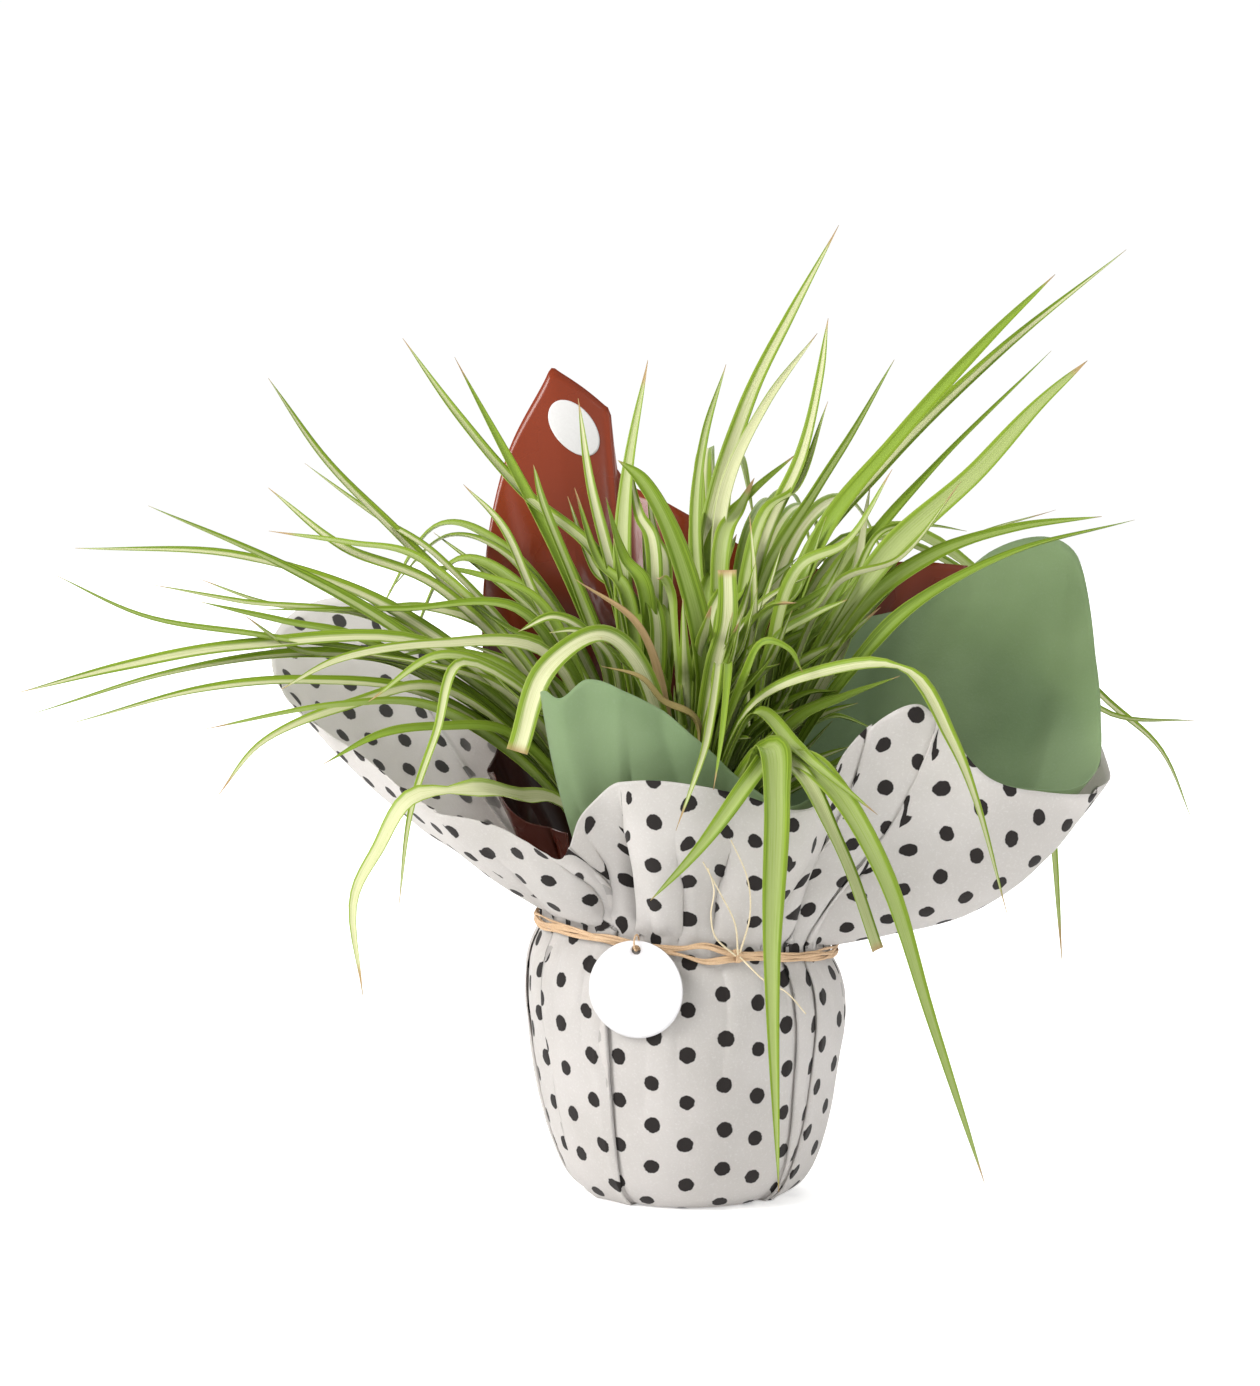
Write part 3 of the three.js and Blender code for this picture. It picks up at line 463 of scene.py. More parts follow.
# %% [markdown]
# ## The lines that the wrapping follows
#
# Each wrapping sheet rises from the tied neck and falls open into a collar. The drawing gives
# its rim as stations: how far out and how high the edge stands at some angles round the pot. A
# smooth curve through the stations gives the rest. The same numbers shaped the CAD sheets, so
# the finer sheets made here sit in the same places.

# %% The rims of the three sheets, as angle, reach, height and belly
DOTTED_RIM = np.array([
    (-14, 183, 180, 38), (0, 187, 190, 36), (10, 182, 212, 30), (22, 165, 232, 20),
    (34, 158, 228, 16), (46, 136, 220, 12), (64, 114, 212, 6), (85, 102, 208, 4),
    (105, 104, 206, 4), (125, 122, 214, 6), (140, 142, 238, 8), (152, 170, 258, 10),
    (163, 184, 258, 12), (173, 187, 242, 13), (183, 180, 221, 13), (195, 148, 199, 12),
    (206, 128, 180, 10), (219, 114, 170, 8), (229, 105, 165, 6), (236, 99, 154, 3),
    (240, 98, 171, 3), (245, 97, 181, 3), (251, 98, 189, 4), (260, 99, 192, 4), (272, 98, 191, 4),
    (284, 99, 184, 4), (296, 101, 181, 4), (303, 103, 185, 5), (309, 105, 202, 6),
    (316, 114, 217, 8), (321, 126, 222, 11), (326, 133, 209, 16), (331, 144, 192, 23),
    (337, 162, 186, 34), (346, 183, 180, 38),
], float)
GREEN_RIM = np.array([
    (226, 92, 227, 9), (231, 94, 229, 9), (236, 95, 226, 7), (242, 93, 233, 4), (255, 86, 226, 2),
    (272, 81, 209, 2), (286, 82, 190, 2), (300, 86, 180, 2), (312, 93, 188, 4), (320, 98, 199, 5),
    (326, 106, 201, 4), (332, 132, 193, 14), (339, 155, 186, 26), (346, 173, 181, 32),
    (353, 180, 187, 32), (362, 184, 206, 29), (370, 190, 236, 26), (377, 188, 282, 20),
    (384, 174, 288, 12), (395, 144, 264, 3), (408, 118, 250, 1), (420, 102, 243, 0),
], float)
RED_RIM = np.array([
    (34, 166, 276, 2), (42, 153, 278, 2), (54, 137, 274, 2), (68, 121, 276, 1), (82, 111, 292, 0),
    (95, 112, 306, 0), (104.5, 122, 322, 0), (105.5, 124, 346, 0), (107, 126, 352, 0),
    (115.5, 138, 366, 0), (117, 140, 368, 0), (118.5, 140, 362, 0), (126, 140, 330, 0),
    (131, 138, 296, 0), (138, 126, 256, 2), (150, 102, 206, 3), (165, 90, 188, 3),
    (185, 88, 186, 3), (196, 88, 188, 3), (203, 87, 178, 2), (210, 80, 168, 1), (222, 72, 164, 0),
], float)
RUFFLE = {"depth": 3, "first": 11, "second": 17}


def rim_at(stations, angle):
    """Reach, height and belly at each angle, on a cubic through the stations."""
    ends = stations[:, 0]
    if stations is DOTTED_RIM:
        angle = (angle - ends[0]) % 360 + ends[0]
    i = np.clip(np.searchsorted(ends, angle, side="left") - 1, 0, len(ends) - 2)
    before, a, b, after = (stations[np.clip(i + k, 0, len(ends) - 1)] for k in (-1, 0, 1, 2))
    span = (b[..., 0] - a[..., 0])[..., None]
    t = np.clip((angle - a[..., 0])[..., None] / span, 0, 1)
    wide_a = np.where(i[..., None] == 0, np.inf, (b - before)[..., :1])
    wide_b = np.where(i[..., None] == len(ends) - 2, np.inf, (after - a)[..., :1])
    slope_a = (b - before) / wide_a * span
    slope_b = (after - a) / wide_b * span
    t2, t3 = t * t, t * t * t
    curve = (2 * t3 - 3 * t2 + 1) * a + (t3 - 2 * t2 + t) * slope_a
    curve = curve + (3 * t2 - 2 * t3) * b + (t3 - t2) * slope_b
    return curve[..., 1], curve[..., 2], curve[..., 3]


front_rim = rim_at(DOTTED_RIM, np.array([270.0]))
print("front rim of the dotted sheet:", [float(x[0].round(1)) for x in front_rim])

# %% The line of a collar from the neck out to its rim
def collar_line(stations, inset, angle, along):
    reach, height, belly = rim_at(stations, angle)
    foot_out = NECK["radius"] - inset
    foot_up = neck_height(angle) + NECK["straight"] + inset
    out = reach - foot_out
    up = height - foot_up
    length = np.hypot(out, up)
    mid_out = foot_out + out / 2 + belly * up / length
    mid_up = foot_up + up / 2 - belly * out / length
    a = np.radians(angle)
    wave = 0.6 * np.sin(RUFFLE["first"] * a + 0.7) + 0.4 * np.sin(RUFFLE["second"] * a + 2.1)
    fold = RUFFLE["depth"] * wave * along**1.3
    rest = 1 - along
    radius = rest**2 * foot_out + 2 * along * rest * mid_out + along**2 * reach + fold * up / length
    rise = rest**2 * foot_up + 2 * along * rest * mid_up + along**2 * height - fold * out / length
    return radius, rise


# %% [markdown]
# ## How cloth gathers
#
# A square of cloth drawn in by a string has far too much edge for the neck, so it buckles into
# folds: deep, sharp valleys between round lobes, which fade out up the collar, and fine pleats
# right at the string. One function says how far the cloth stands in or out at each angle and
# distance from the string. It turns every sheet about the neck by the same amount, so sheets
# that lie inside each other fold together. The laps, crumples and creases that come later are
# each sheet's own, and low in the collar the green sheet still cuts into the dotted one.

# %% Smooth random bumps that come out the same in every run
def bumps(where, size, seed):
    spot = np.asarray(where, float) / size
    cell = np.floor(spot).astype(np.int64)
    part = spot - cell
    part = part * part * (3 - 2 * part)
    total = np.zeros(spot.shape[:-1])
    for corner in range(8):
        step = np.array([corner & 1, corner >> 1 & 1, corner >> 2 & 1])
        at = cell + step
        mixed = at[..., 0] * 73856093 ^ at[..., 1] * 19349663 ^ at[..., 2] * 83492791 ^ seed * 668265263
        mixed = (mixed ^ mixed >> 13) * 1274126177 & 0x7FFFFFFF
        value = (mixed ^ mixed >> 9) % 20011 / 10005.0 - 1
        total += value * np.prod(np.where(step == 1, part, 1 - part), -1)
    return total


# The valleys, as angle, depth, half-widths in degrees on both sides of it, and how far up the
# collar they run. One flank is steep and the other wide, as where cloth leans over itself.
VALLEYS = [
    (214, 9, 8, 3, 42), (233, 15, 3, 9, 46), (240, 15, 4, 1.5, 30), (251, 15, 10, 2.5, 50),
    (252, 24, 4.5, 1.2, 40), (266, 15, 1.2, 4, 28), (282, 14, 8, 2, 38), (299, 9, 2, 6, 28),
    (307, 16, 4, 1.5, 26), (313, 17, 2, 9, 46), (326, 17, 1.5, 6, 38), (352, 10, 7, 3, 45),
    (12, 6, 3, 7, 40),
    (33, 8, 3, 8, 50), (58, 7, 7, 3, 40), (80, 8, 3, 8, 45), (103, 6, 6, 3, 35), (127, 8, 3, 8, 45),
    (148, 6, 7, 3, 40), (170, 7, 3, 8, 45), (192, 7, 7, 3, 40),
]


# Folds grow over a few millimetres from the string. The cloth turns about a ring just inside it,
# and is drawn sideways by a share of the fold's slope.
FOLDS_START = 8
LOBES = {"height": 1.4, "reach": 50}
FLANKS = {"at_string": 0.6, "widen_over": 60, "roundness": 1.25}
PLEATS = {"height": 0.8, "many": 43, "more": 61, "start": 3, "reach": 18}
PIVOT = {"inside": 2, "least_distance": 8}
DRAWN = {"share": 2.0, "most": 4}


def fold_height(angle, distance):
    """How far the gathered cloth stands outwards, in millimetres."""
    started = 1 - np.exp(-distance / FOLDS_START)
    total = LOBES["height"] * started * np.exp(-((distance / LOBES["reach"]) ** 2))
    widened = FLANKS["at_string"] + distance / FLANKS["widen_over"]
    for at, depth, before_it, past_it, reach in VALLEYS:
        off = (angle - at + 180) % 360 - 180
        flank = np.where(off < 0, before_it, past_it) * widened
        lasting = started * np.exp(-((distance / reach) ** 2))
        total = total - depth * lasting * np.exp(-((np.abs(off) / flank) ** FLANKS["roundness"]))
    a = np.radians(angle)
    pleats = np.sin(PLEATS["many"] * a + 0.5) + 0.7 * np.sin(PLEATS["more"] * a + 2.0)
    uneven = 0.6 + 0.4 * np.sin(7 * a + 1.0)
    lasting = (1 - np.exp(-distance / PLEATS["start"])) * np.exp(-distance / PLEATS["reach"])
    return total + PLEATS["height"] * uneven * pleats * lasting


def gathered(angle, radius, rise):
    """Turns collar points about the neck, and draws them sideways towards the valleys."""
    pivot_out = NECK["radius"] - PIVOT["inside"]
    pivot_up = neck_height(angle) + NECK["straight"]
    out, up = radius - pivot_out, rise - pivot_up
    distance = np.hypot(out, up)
    turn = fold_height(angle, distance) / np.maximum(distance, PIVOT["least_distance"])
    new_out = out * np.cos(turn) + up * np.sin(turn)
    new_up = up * np.cos(turn) - out * np.sin(turn)
    slope = (fold_height(angle + 0.5, distance) - fold_height(angle - 0.5, distance)) / np.radians(1)
    sideways = np.clip(-DRAWN["share"] * slope / radius, -DRAWN["most"], DRAWN["most"])
    return angle + np.degrees(sideways / radius), pivot_out + new_out, pivot_up + new_up


sample = fold_height(np.arange(0, 360, 5.0), 15.0)
print("folds at 15 mm from the string:", sample.min().round(1), "to", sample.max().round(1))

# %% A thin sheet with two faces over a grid of points
def surface_normals(grid, is_around):
    if is_around:
        across = np.roll(grid, -1, 0) - np.roll(grid, 1, 0)
    else:
        across = np.gradient(grid, axis=0)
    outward = np.cross(across, np.gradient(grid, axis=1))
    size = np.linalg.norm(outward, axis=-1, keepdims=True)
    return outward / np.maximum(size, 1e-9)


def sheet_object(name, grid, thickness, is_around, filled=False):
    """The grid is the outer face. The inner face takes the second material slot."""
    columns, rows = grid.shape[:2]
    inner = grid - surface_normals(grid, is_around) * thickness
    points = np.concatenate([grid.reshape(-1, 3), inner.reshape(-1, 3)])
    front = grid_faces(columns, rows, is_around)
    count = columns * rows
    back = front[:, ::-1] + count
    last = columns if is_around else columns - 1
    c = np.arange(last)
    d = (c + 1) % columns
    rim = np.stack([c * rows + rows - 1, d * rows + rows - 1], -1)
    rim = np.concatenate([rim, rim[:, ::-1] + count], 1)
    faces = [*front, *back, *rim]
    if filled:
        floor = np.arange(columns) * rows
        faces += [floor[::-1], floor + count]
    else:
        foot = np.stack([d * rows, c * rows], -1)
        faces += [*np.concatenate([foot, foot[:, ::-1] + count], 1)]
    if not is_around:
        r = np.arange(rows - 1)
        first = np.stack([r, r + 1], -1)
        faces += [*np.concatenate([first, first[:, ::-1] + count], 1)]
        end = first[:, ::-1] + (columns - 1) * rows
        faces += [*np.concatenate([end, end[:, ::-1] + count], 1)]
    made = mesh_object(name, points, faces)
    slots = np.zeros(len(made.data.polygons), np.int32)
    slots[len(front):len(front) + len(back)] = 1
    made.data.polygons.foreach_set("material_index", slots)
    return made


def add_attribute(piece, name, values):
    values = np.asarray(values, np.float32)
    kind = "FLOAT_VECTOR" if values.ndim == 2 else "FLOAT"
    made = piece.data.attributes.new(name, kind, "POINT")
    made.data.foreach_set("vector" if values.ndim == 2 else "value", values.ravel())

# %% [markdown]
# ## The dotted sheet
#
# The outer wrap is a square of white nonwoven cloth, printed with black dots. The pot stands on
# its middle, and its sides come up and are tied. Below the string the spare cloth lies in laps:
# the sheet runs on, turns back under itself and runs on again, three layers deep. A cloth
# simulation would make folds, but not these folds, so the sheet is built column by column. A
# lap is a run of columns that goes forward, back and forward again, each a little deeper.

# %% Columns of the sheet, with its laps
# Each lap has its angle, the side that lies on top (1 for the left one, seen from outside), the
# width of its overlap, the height at which it starts and how far it leans.
LAPS = [
    (209.2, -1, 9.0, 60, 0), (237.3, 1, 10.0, 12, 0), (314.2, -1, 9.0, 22, 5), (324.1, -1, 5.0, 60, -2),
    (347.3, 1, 8.0, 25, 2), (22.4, -1, 9.0, 20, -3), (61.2, 1, 8.0, 40, 2), (88.3, -1, 9.0, 15, 0),
    (121.1, 1, 8.0, 30, -3), (151.3, -1, 9.0, 18, 3), (180.4, 1, 7.0, 45, 0),
]
LAP_COLUMNS = 12
# Columns stand closer together between these angles, where the folds are sharpest.
FRONT_FOLDS = (225, 340)

first, last = FRONT_FOLDS
spread = [np.arange(0, first, 1.0), np.arange(first, last, 0.5), np.arange(last, 360, 1.0)]
columns = [(float(a), -1, 0.0) for a in np.concatenate(spread)]
for number, lap in enumerate(LAPS):
    columns += [(lap[0], number, t) for t in np.linspace(0, 3, LAP_COLUMNS + 1)]
columns.sort(key=lambda c: (c[0], c[2]))
start_angle = np.array([c[0] for c in columns])
own_lap = np.array([c[1] for c in columns])
lap_share = np.array([c[2] for c in columns])
print("columns:", len(columns), "of which in laps:", int((own_lap >= 0).sum()))

# %% Rows of the sheet: underside, body, neck and collar
BODY_PROFILE = [(43, 0), (52, 8), (61, 30), (67, 58), (70.5, 86), (68.5, 102), (64, 112)]
BODY_TOP = BODY_PROFILE[-1][1]
BODY_ROWS, COLLAR_ROWS = 38, 42

body_line = smooth_curve([(r, h, 0) for r, h in BODY_PROFILE], np.linspace(0, 1, BODY_ROWS))[:, :2]
base_line = np.array([(r, 0.0) for r in (1.5, 12, 24, 34, 40.5)])
below = np.concatenate([base_line, body_line])
WAIST_RISES = np.array([-1.6, -0.3, 0.0, 2.0, 4.0])
collar_shares = np.linspace(0, 1, COLLAR_ROWS + 1)[1:]
row_count = len(below) + len(WAIST_RISES) + len(collar_shares)
first_waist = len(below)
first_collar = first_waist + len(WAIST_RISES)
print("rows:", row_count)

# %% Each column's angle and depth in each row
# A lap is narrow where it starts, widest at the string, and opens again just above it. It pushes
# the columns beside it along, less so a few degrees away.
LAP = {"narrow": 0.8, "kept": 0.08, "opens_over": 0.16, "pushes_over": 6}
COLLAR_REACH = 60
GAP = {"below": 0.3, "body": 0.75, "pressed": 0.35}

path_share = np.ones(row_count)
path_share[:len(base_line)] = 0
path_share[len(base_line):first_waist] = np.linspace(0, 1, BODY_ROWS)
beyond = np.concatenate([np.zeros(first_collar), collar_shares])
row_height = np.full(row_count, float(NECK["height"]))
row_height[:first_waist] = below[:, 1]
row_radius = NECK["radius"] + COLLAR_REACH * beyond
row_radius[:first_waist] = below[:, 0]
layer_gap = np.where(row_height < 1, GAP["below"], GAP["body"]) * (1 - GAP["pressed"] * path_share**6)

angle = np.repeat(start_angle[:, None], row_count, 1)
depth = np.zeros_like(angle)
for number, (at, side, width, low, lean) in enumerate(LAPS):
    grown = np.sqrt(np.clip((row_height - low) / (BODY_TOP - low), 0, 1))
    closed = LAP["kept"] + (1 - LAP["kept"]) * np.exp(-beyond / LAP["opens_over"])
    wide = LAP["narrow"] + (width - LAP["narrow"]) * grown * closed
    wide = wide * np.minimum(1, row_radius / BODY_PROFILE[0][0])
    middle = at + lean * (1 - row_height / BODY_TOP)
    half = np.degrees(wide / 2 / row_radius)
    away = (start_angle - at + 180) % 360 - 180
    mine = own_lap == number
    fade = np.exp(-np.abs(away) / LAP["pushes_over"])[:, None]
    sign = np.where(away > 0, 1, -1)[:, None]
    pushed = sign * half * fade + (middle - at) * fade
    angle[~mine] += pushed[~mine]
    depth[~mine] -= (side * sign * 1.5 * layer_gap * fade)[~mine]
    t = lap_share[mine][:, None]
    run = np.where(t < 1, t, np.where(t < 2, 2 - t, t - 2))
    angle[mine] = middle + (2 * run - 1) * half
    depth[mine] += side * layer_gap * (1.5 - t)

# %% Shape the sheet below the string
def outward_in_profile(line):
    run = np.gradient(line, axis=0)
    return np.stack([run[:, 1], -run[:, 0]], -1) / np.linalg.norm(run, axis=1, keepdims=True)


radius = np.zeros_like(angle)
rise = np.zeros_like(angle)
facing = outward_in_profile(below)
facing[:len(base_line)] = (0, -1)
scale_up = neck_height(angle[:, :first_waist]) / NECK["height"]
drop = (BODY_TOP - below[:, 1]) * scale_up
lobes = 0.28 * np.maximum(fold_height(angle[:, :first_waist], drop) + 3, 0) * (below[:, 1] > 1)
stand = depth[:, :first_waist] + lobes
radius[:, :first_waist] = below[:, 0] + facing[:, 0] * stand
rise[:, :first_waist] = below[:, 1] * scale_up + facing[:, 1] * stand
on_floor = np.arange(first_waist) <= len(base_line)
rise[:, :first_waist] += np.where(on_floor, 0.45, 0.0)
rise[:, :first_waist] = np.maximum(rise[:, :first_waist], 0.0)

waist = slice(first_waist, first_collar)
pinch = 0.4 * np.sin(PLEATS["many"] * np.radians(angle[:, waist]) + 0.5)
radius[:, waist] = NECK["radius"] + 0.4 + depth[:, waist] + pinch
rise[:, waist] = neck_height(angle[:, waist]) + WAIST_RISES

# %% Shape the collar, gather it and crumple the whole sheet
open_part = slice(first_collar, row_count)
out, up = collar_line(DOTTED_RIM, 0, angle[:, open_part], collar_shares[None, :])
tilt = np.arctan2(np.gradient(up, axis=1), np.gradient(out, axis=1))
out = out + depth[:, open_part] * np.sin(tilt)
up = up - depth[:, open_part] * np.cos(tilt)
angle[:, open_part], radius[:, open_part], rise[:, open_part] = gathered(angle[:, open_part], out, up)
wrap = around_axis(angle, radius, rise)

creases = 1 - 2 * np.abs(bumps(wrap, 19.0, 11))
crumple = 0.55 * bumps(wrap, 30.0, 5) + 0.3 * creases + 0.12 * bumps(wrap, 6.0, 8)
crumple[:, waist] = 0
crumple *= np.clip(rise / 6, 0, 1)
wrap = wrap + surface_normals(wrap, True) * crumple[..., None]
wrap_piece = sheet_object("wrap_sheet", wrap, 0.32, True, True)
print("dotted sheet faces:", len(wrap_piece.data.polygons))

# %% [markdown]
# ### Where the dots fall
#
# The dots are printed on the flat cloth, so each point of the sheet has to know its place on the
# cloth in millimetres. Between two laps the cloth runs straight up the pot, so there the walk
# round the pot is counted from the middle of that panel, and the walk up gives the height. The
# spare cloth is hidden in the laps. Above the string the cloth opens like a fan, so the walk is
# bent round the middle of the square. The finish draws round dots from these numbers alone.

# %% Places on the flat cloth, in millimetres
# The walk starts at the front and is cut in the lap at the back. The string ties the square this
# far from its middle, measured on the cloth.
FRONT, SEAM = 270, 88.3
TIED_AT = 165.0

front_column = int(np.argmin(np.abs(start_angle - FRONT) + 10 * (own_lap >= 0)))
steps_round = np.linalg.norm(np.roll(wrap, -1, 0) - wrap, axis=-1)
walked = np.roll(steps_round, -front_column, 0).cumsum(0)
walked = np.concatenate([np.zeros((1, row_count)), walked[:-1]])
whole = steps_round.sum(0)
ahead = (np.roll(start_angle, -front_column) - FRONT) % 360 < (SEAM - FRONT) % 360
walked = np.where(ahead[:, None], walked, walked - whole)
walked = np.roll(walked, front_column, 0)
steps_up = np.linalg.norm(np.diff(wrap, axis=1), axis=-1)
climbed = np.concatenate([np.zeros((len(columns), 1)), steps_up.cumsum(1)], 1)

lap_angles = np.sort([lap[0] for lap in LAPS])
panel_middles = (lap_angles + np.append(lap_angles[1:], lap_angles[0] + 360)) / 2
middle_row = len(base_line) + 22
fair_row = 24


def from_panel(panel):
    """The walk, with each row counted from the middle column of the given panel."""
    middle = panel_middles[panel % len(LAPS)] % 360
    column = np.argmin(np.abs(start_angle - middle[:, None]) + 10 * (own_lap >= 0), axis=1)
    shift = np.where(np.abs(walked - walked[column]) > whole / 2, np.sign(walked[column] - walked), 0)
    return walked + shift * whole - walked[column] + walked[column, middle_row][:, None]


before = np.searchsorted(lap_angles, start_angle, side="left") - 1
after = np.where(own_lap >= 0, before + 1, before)
in_lap = np.clip(lap_share - 1, 0, 1)[:, None]
strip = from_panel(before) * (1 - in_lap) + from_panel(after) * in_lap
cloth = np.stack([strip, climbed, 0 * climbed], -1)
cloth[:, :len(base_line)] = wrap[:, :len(base_line)]
# Folds and laps shorten the walk at the string, so each column's turn is the one that fits half
# way up the collar.
fan_from = first_waist + 2
climb = climbed[:, fan_from:] - climbed[:, fan_from - 1:fan_from]
turn_step = steps_round[:, fan_from + fair_row] / (TIED_AT + climb[:, fair_row])
turn = np.roll(turn_step, -front_column).cumsum()
turn = np.concatenate([[0], turn[:-1]])
turn = np.roll(np.where(ahead, turn, turn - turn_step.sum()), front_column)[:, None]
reach = TIED_AT + climb
cloth[:, fan_from:, 0] = reach * np.sin(turn)
cloth[:, fan_from:, 1] = reach * np.cos(turn)
cloth[..., 2] = 0
both = np.concatenate([cloth.reshape(-1, 3), cloth.reshape(-1, 3)])
add_attribute(wrap_piece, "cloth", both)
print("cloth round the neck:", round(float(whole[first_waist]), 1), "mm")

# %% [markdown]
# ### The printed cloth's finish
#
# Nonwoven cloth is matte and a little translucent. Its pressed fibres give it a faint grain, and
# the print is a lattice of dots: columns 15.6 mm apart, each with a dot every 20 mm, and every
# second column shifted by half a step. Drawing the dots with a texture would blur them, so a few
# sums find the nearest lattice point, push it about a little, and measure how far away it is.

# %% The dot pattern as a number, 1 inside a dot
# The lattice in millimetres, then the dot's radius and how much it varies, how far a dot strays,
# how frayed its edge is and how soft. Columns differ by up to `uneven` of a step.
DOTS = {"column": 15.6, "row": 20.0, "radius": 3.55, "varied": 0.5, "stray": 1.7, "uneven": 0.3,
        "frayed": 1.3, "soft": 0.22}


def dot_pattern(tree):
    cloth_place = attribute(tree, "cloth", "Vector")
    x, y = parts(tree, cloth_place)[:2]
    which = sums(tree, "ROUND", sums(tree, "DIVIDE", x, DOTS["column"]))
    odd = times(tree, sums(tree, "MODULO", sums(tree, "ABSOLUTE", which), 2.0), 0.5)
    column_chance = node(tree, "ShaderNodeTexWhiteNoise", {"W": which}, noise_dimensions="1D")
    uneven = times(tree, minus(tree, column_chance.outputs["Value"], 0.5), DOTS["uneven"])
    lifted = minus(tree, sums(tree, "DIVIDE", y, DOTS["row"]), plus(tree, odd, uneven))
    step = sums(tree, "ROUND", lifted)
    cell = node(tree, "ShaderNodeCombineXYZ", {0: which, 1: step}).outputs[0]
    stray = parts(tree, node(tree, "ShaderNodeTexWhiteNoise", {"Vector": cell}).outputs["Color"])

    def strayed(gap, chance):
        return plus(tree, gap, times(tree, minus(tree, chance, 0.5), DOTS["stray"]))

    dx = strayed(minus(tree, x, times(tree, which, DOTS["column"])), stray[0])
    dy = strayed(times(tree, minus(tree, lifted, step), DOTS["row"]), stray[1])
    away = sums(tree, "SQRT", plus(tree, times(tree, dx, dx), times(tree, dy, dy)))
    frayed = minus(tree, noise(tree, cloth_place, 0.45, 2.0), 0.5)
    away = plus(tree, away, times(tree, frayed, DOTS["frayed"]))
    size = plus(tree, times(tree, minus(tree, stray[2], 0.5), DOTS["varied"]), DOTS["radius"])
    return ease(tree, minus(tree, size, away), -DOTS["soft"], DOTS["soft"])


# Painted backlight on the wing of cloth on the left, where the sheet is thin against the light: it is
# painted paler, and its print clearer, between these two distances to the left, in metres.
PAINTED_BACKLIGHT_SPAN = (0.09, 0.108)


def nonwoven(name, ground, shade, print_colour=None, through=1.0, painted_backlight=0.0,
             fibre_share=0.2, sheer=0.42, lit=None):
    """Cloth of pressed fibres. `through` is how strongly the print shows on this face. The share after it is
    painted backlight on the left wing: there the cloth is painted paler and more of the print shows.
    `fibre_share` is how pale the fibres are, `sheer` how much light comes through the cloth, and `lit` that
    light's colour."""
    material, tree, shader = new_finish(name)
    where = places(tree)
    fibres = noise(tree, where, 900.0, 3.0, 0.65)
    base = blend(tree, ease(tree, noise(tree, where, 22.0, 4.0), 0.35, 0.65), ground, shade)
    base = blend(tree, times(tree, ease(tree, fibres, 0.5, 0.75), fibre_share), base, (1, 1, 1, 1))
    strength = through
    # Painted backlight: the left wing's cloth is painted paler, and its print clearer.
    if painted_backlight:
        leftward = times(tree, parts(tree, where)[0], -1.0)
        backlight_share = times(tree, ease(tree, leftward, *PAINTED_BACKLIGHT_SPAN), painted_backlight)
        base = blend(tree, backlight_share, base, colour(246, 244, 242))
        strength = plus(tree, backlight_share, through)
    if print_colour:
        base = blend(tree, times(tree, dot_pattern(tree), strength), base, print_colour)
    paint(tree, shader, base, fibres, 0.72, 0.92)
    shader.inputs["Specular IOR Level"].default_value = 0.25
    shader.inputs["Sheen Weight"].default_value = 0.15
    shader.inputs["Sheen Roughness"].default_value = 0.5
    grain = plus(tree, fibres, times(tree, noise(tree, where, 130.0, 2.0), 2.0))
    bump(tree, shader, grain, 0.28, 0.0005)
    lit_from_behind(tree, shader, sheer, lit or base)
    return material


INK = colour(46, 41, 40)
cloth_outside = nonwoven("dotted_cloth_outside", colour(216, 212, 209), colour(208, 204, 200), INK)
cloth_inside = nonwoven(
    "dotted_cloth_inside", colour(222, 218, 214), colour(214, 209, 205), INK, through=0.3, painted_backlight=0.6
)
wrap_piece.data.materials.append(cloth_outside)
wrap_piece.data.materials.append(cloth_inside)
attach(wrap_piece, "root")
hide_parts("dotted_wrap")


def face_area(piece):
    return sum(face.area for face in piece.data.polygons)


print("dotted sheet, both faces, m2:", round(face_area(wrap_piece), 4))

# %% [markdown]
# ## The green and the red sheet
#
# Two more sheets are tucked between the pot and the dotted cloth: a sage green one of the same
# nonwoven, and a glossy red-brown film that stands up in a peak behind the plant. Each is an
# open strip of columns from its first station to its last. It shares the neck, the ruffle and
# the gathers of the outer sheet, a little further in: the film comes first, and the green sheet
# lies inside it. The film also has long straight creases, the kind that a stiff sheet takes when
# it is bent and let go.

# %% A sheet tucked inside the wrap
TUCK_BOTTOM = 80
SHEET_INSET = 1.3
FOOT_ROWS = 8
# The CAD sheets have a column every 6 degrees, and their sides lie on one.
CAD_STEP = 6


def tucked_grid(stations, inset, step, rows_up):
    begin, end = (round(at / CAD_STEP) * CAD_STEP for at in (stations[0, 0], stations[-1, 0]))
    turn = np.arange(begin, end + 0.01, step)[:, None]
    foot_top = neck_height(turn[:, 0]) + NECK["straight"] + inset
    foot_rise = np.linspace(TUCK_BOTTOM, foot_top, FOOT_ROWS + 1, axis=1)[:, :-1]
    share = np.linspace(0, 1, rows_up)[None, :]
    out, up = collar_line(stations, inset, turn, share)
    turned, out, up = gathered(turn + 0 * share, out, up)
    foot = around_axis(turn + 0 * foot_rise, NECK["radius"] - inset + 0 * foot_rise, foot_rise)
    return np.concatenate([foot, around_axis(turned, out, up)], 1), turn[:, 0], share[0]


def beside_crease(turn, share, start, end, wide):
    """How far each point is from a crease's line, as a multiple of its width."""
    along = np.clip((share - start[1]) / (end[1] - start[1]), 0, 1)
    return np.abs(turn[:, None] - (start[0] + (end[0] - start[0]) * along)) / wide


# %% The green sheet and its soft creases
# Where it stands free above the dotted sheet, creases run down from a pinch in its edge. Each
# has its two ends, as an angle and a share of the way up the collar, its height in millimetres
# and its width in degrees.
PINCHES = [
    ((378, 0.98), (366, 0.5), 2.6, 3.5), ((388, 0.9), (384, 0.5), -2.2, 4),
    ((370, 0.8), (356, 0.55), -1.8, 3), ((262, 0.9), (276, 0.3), -2.4, 5),
    ((250, 0.95), (246, 0.3), 1.6, 4), ((404, 0.9), (398, 0.5), 1.8, 4),
]
PINCH_FADE = 0.2

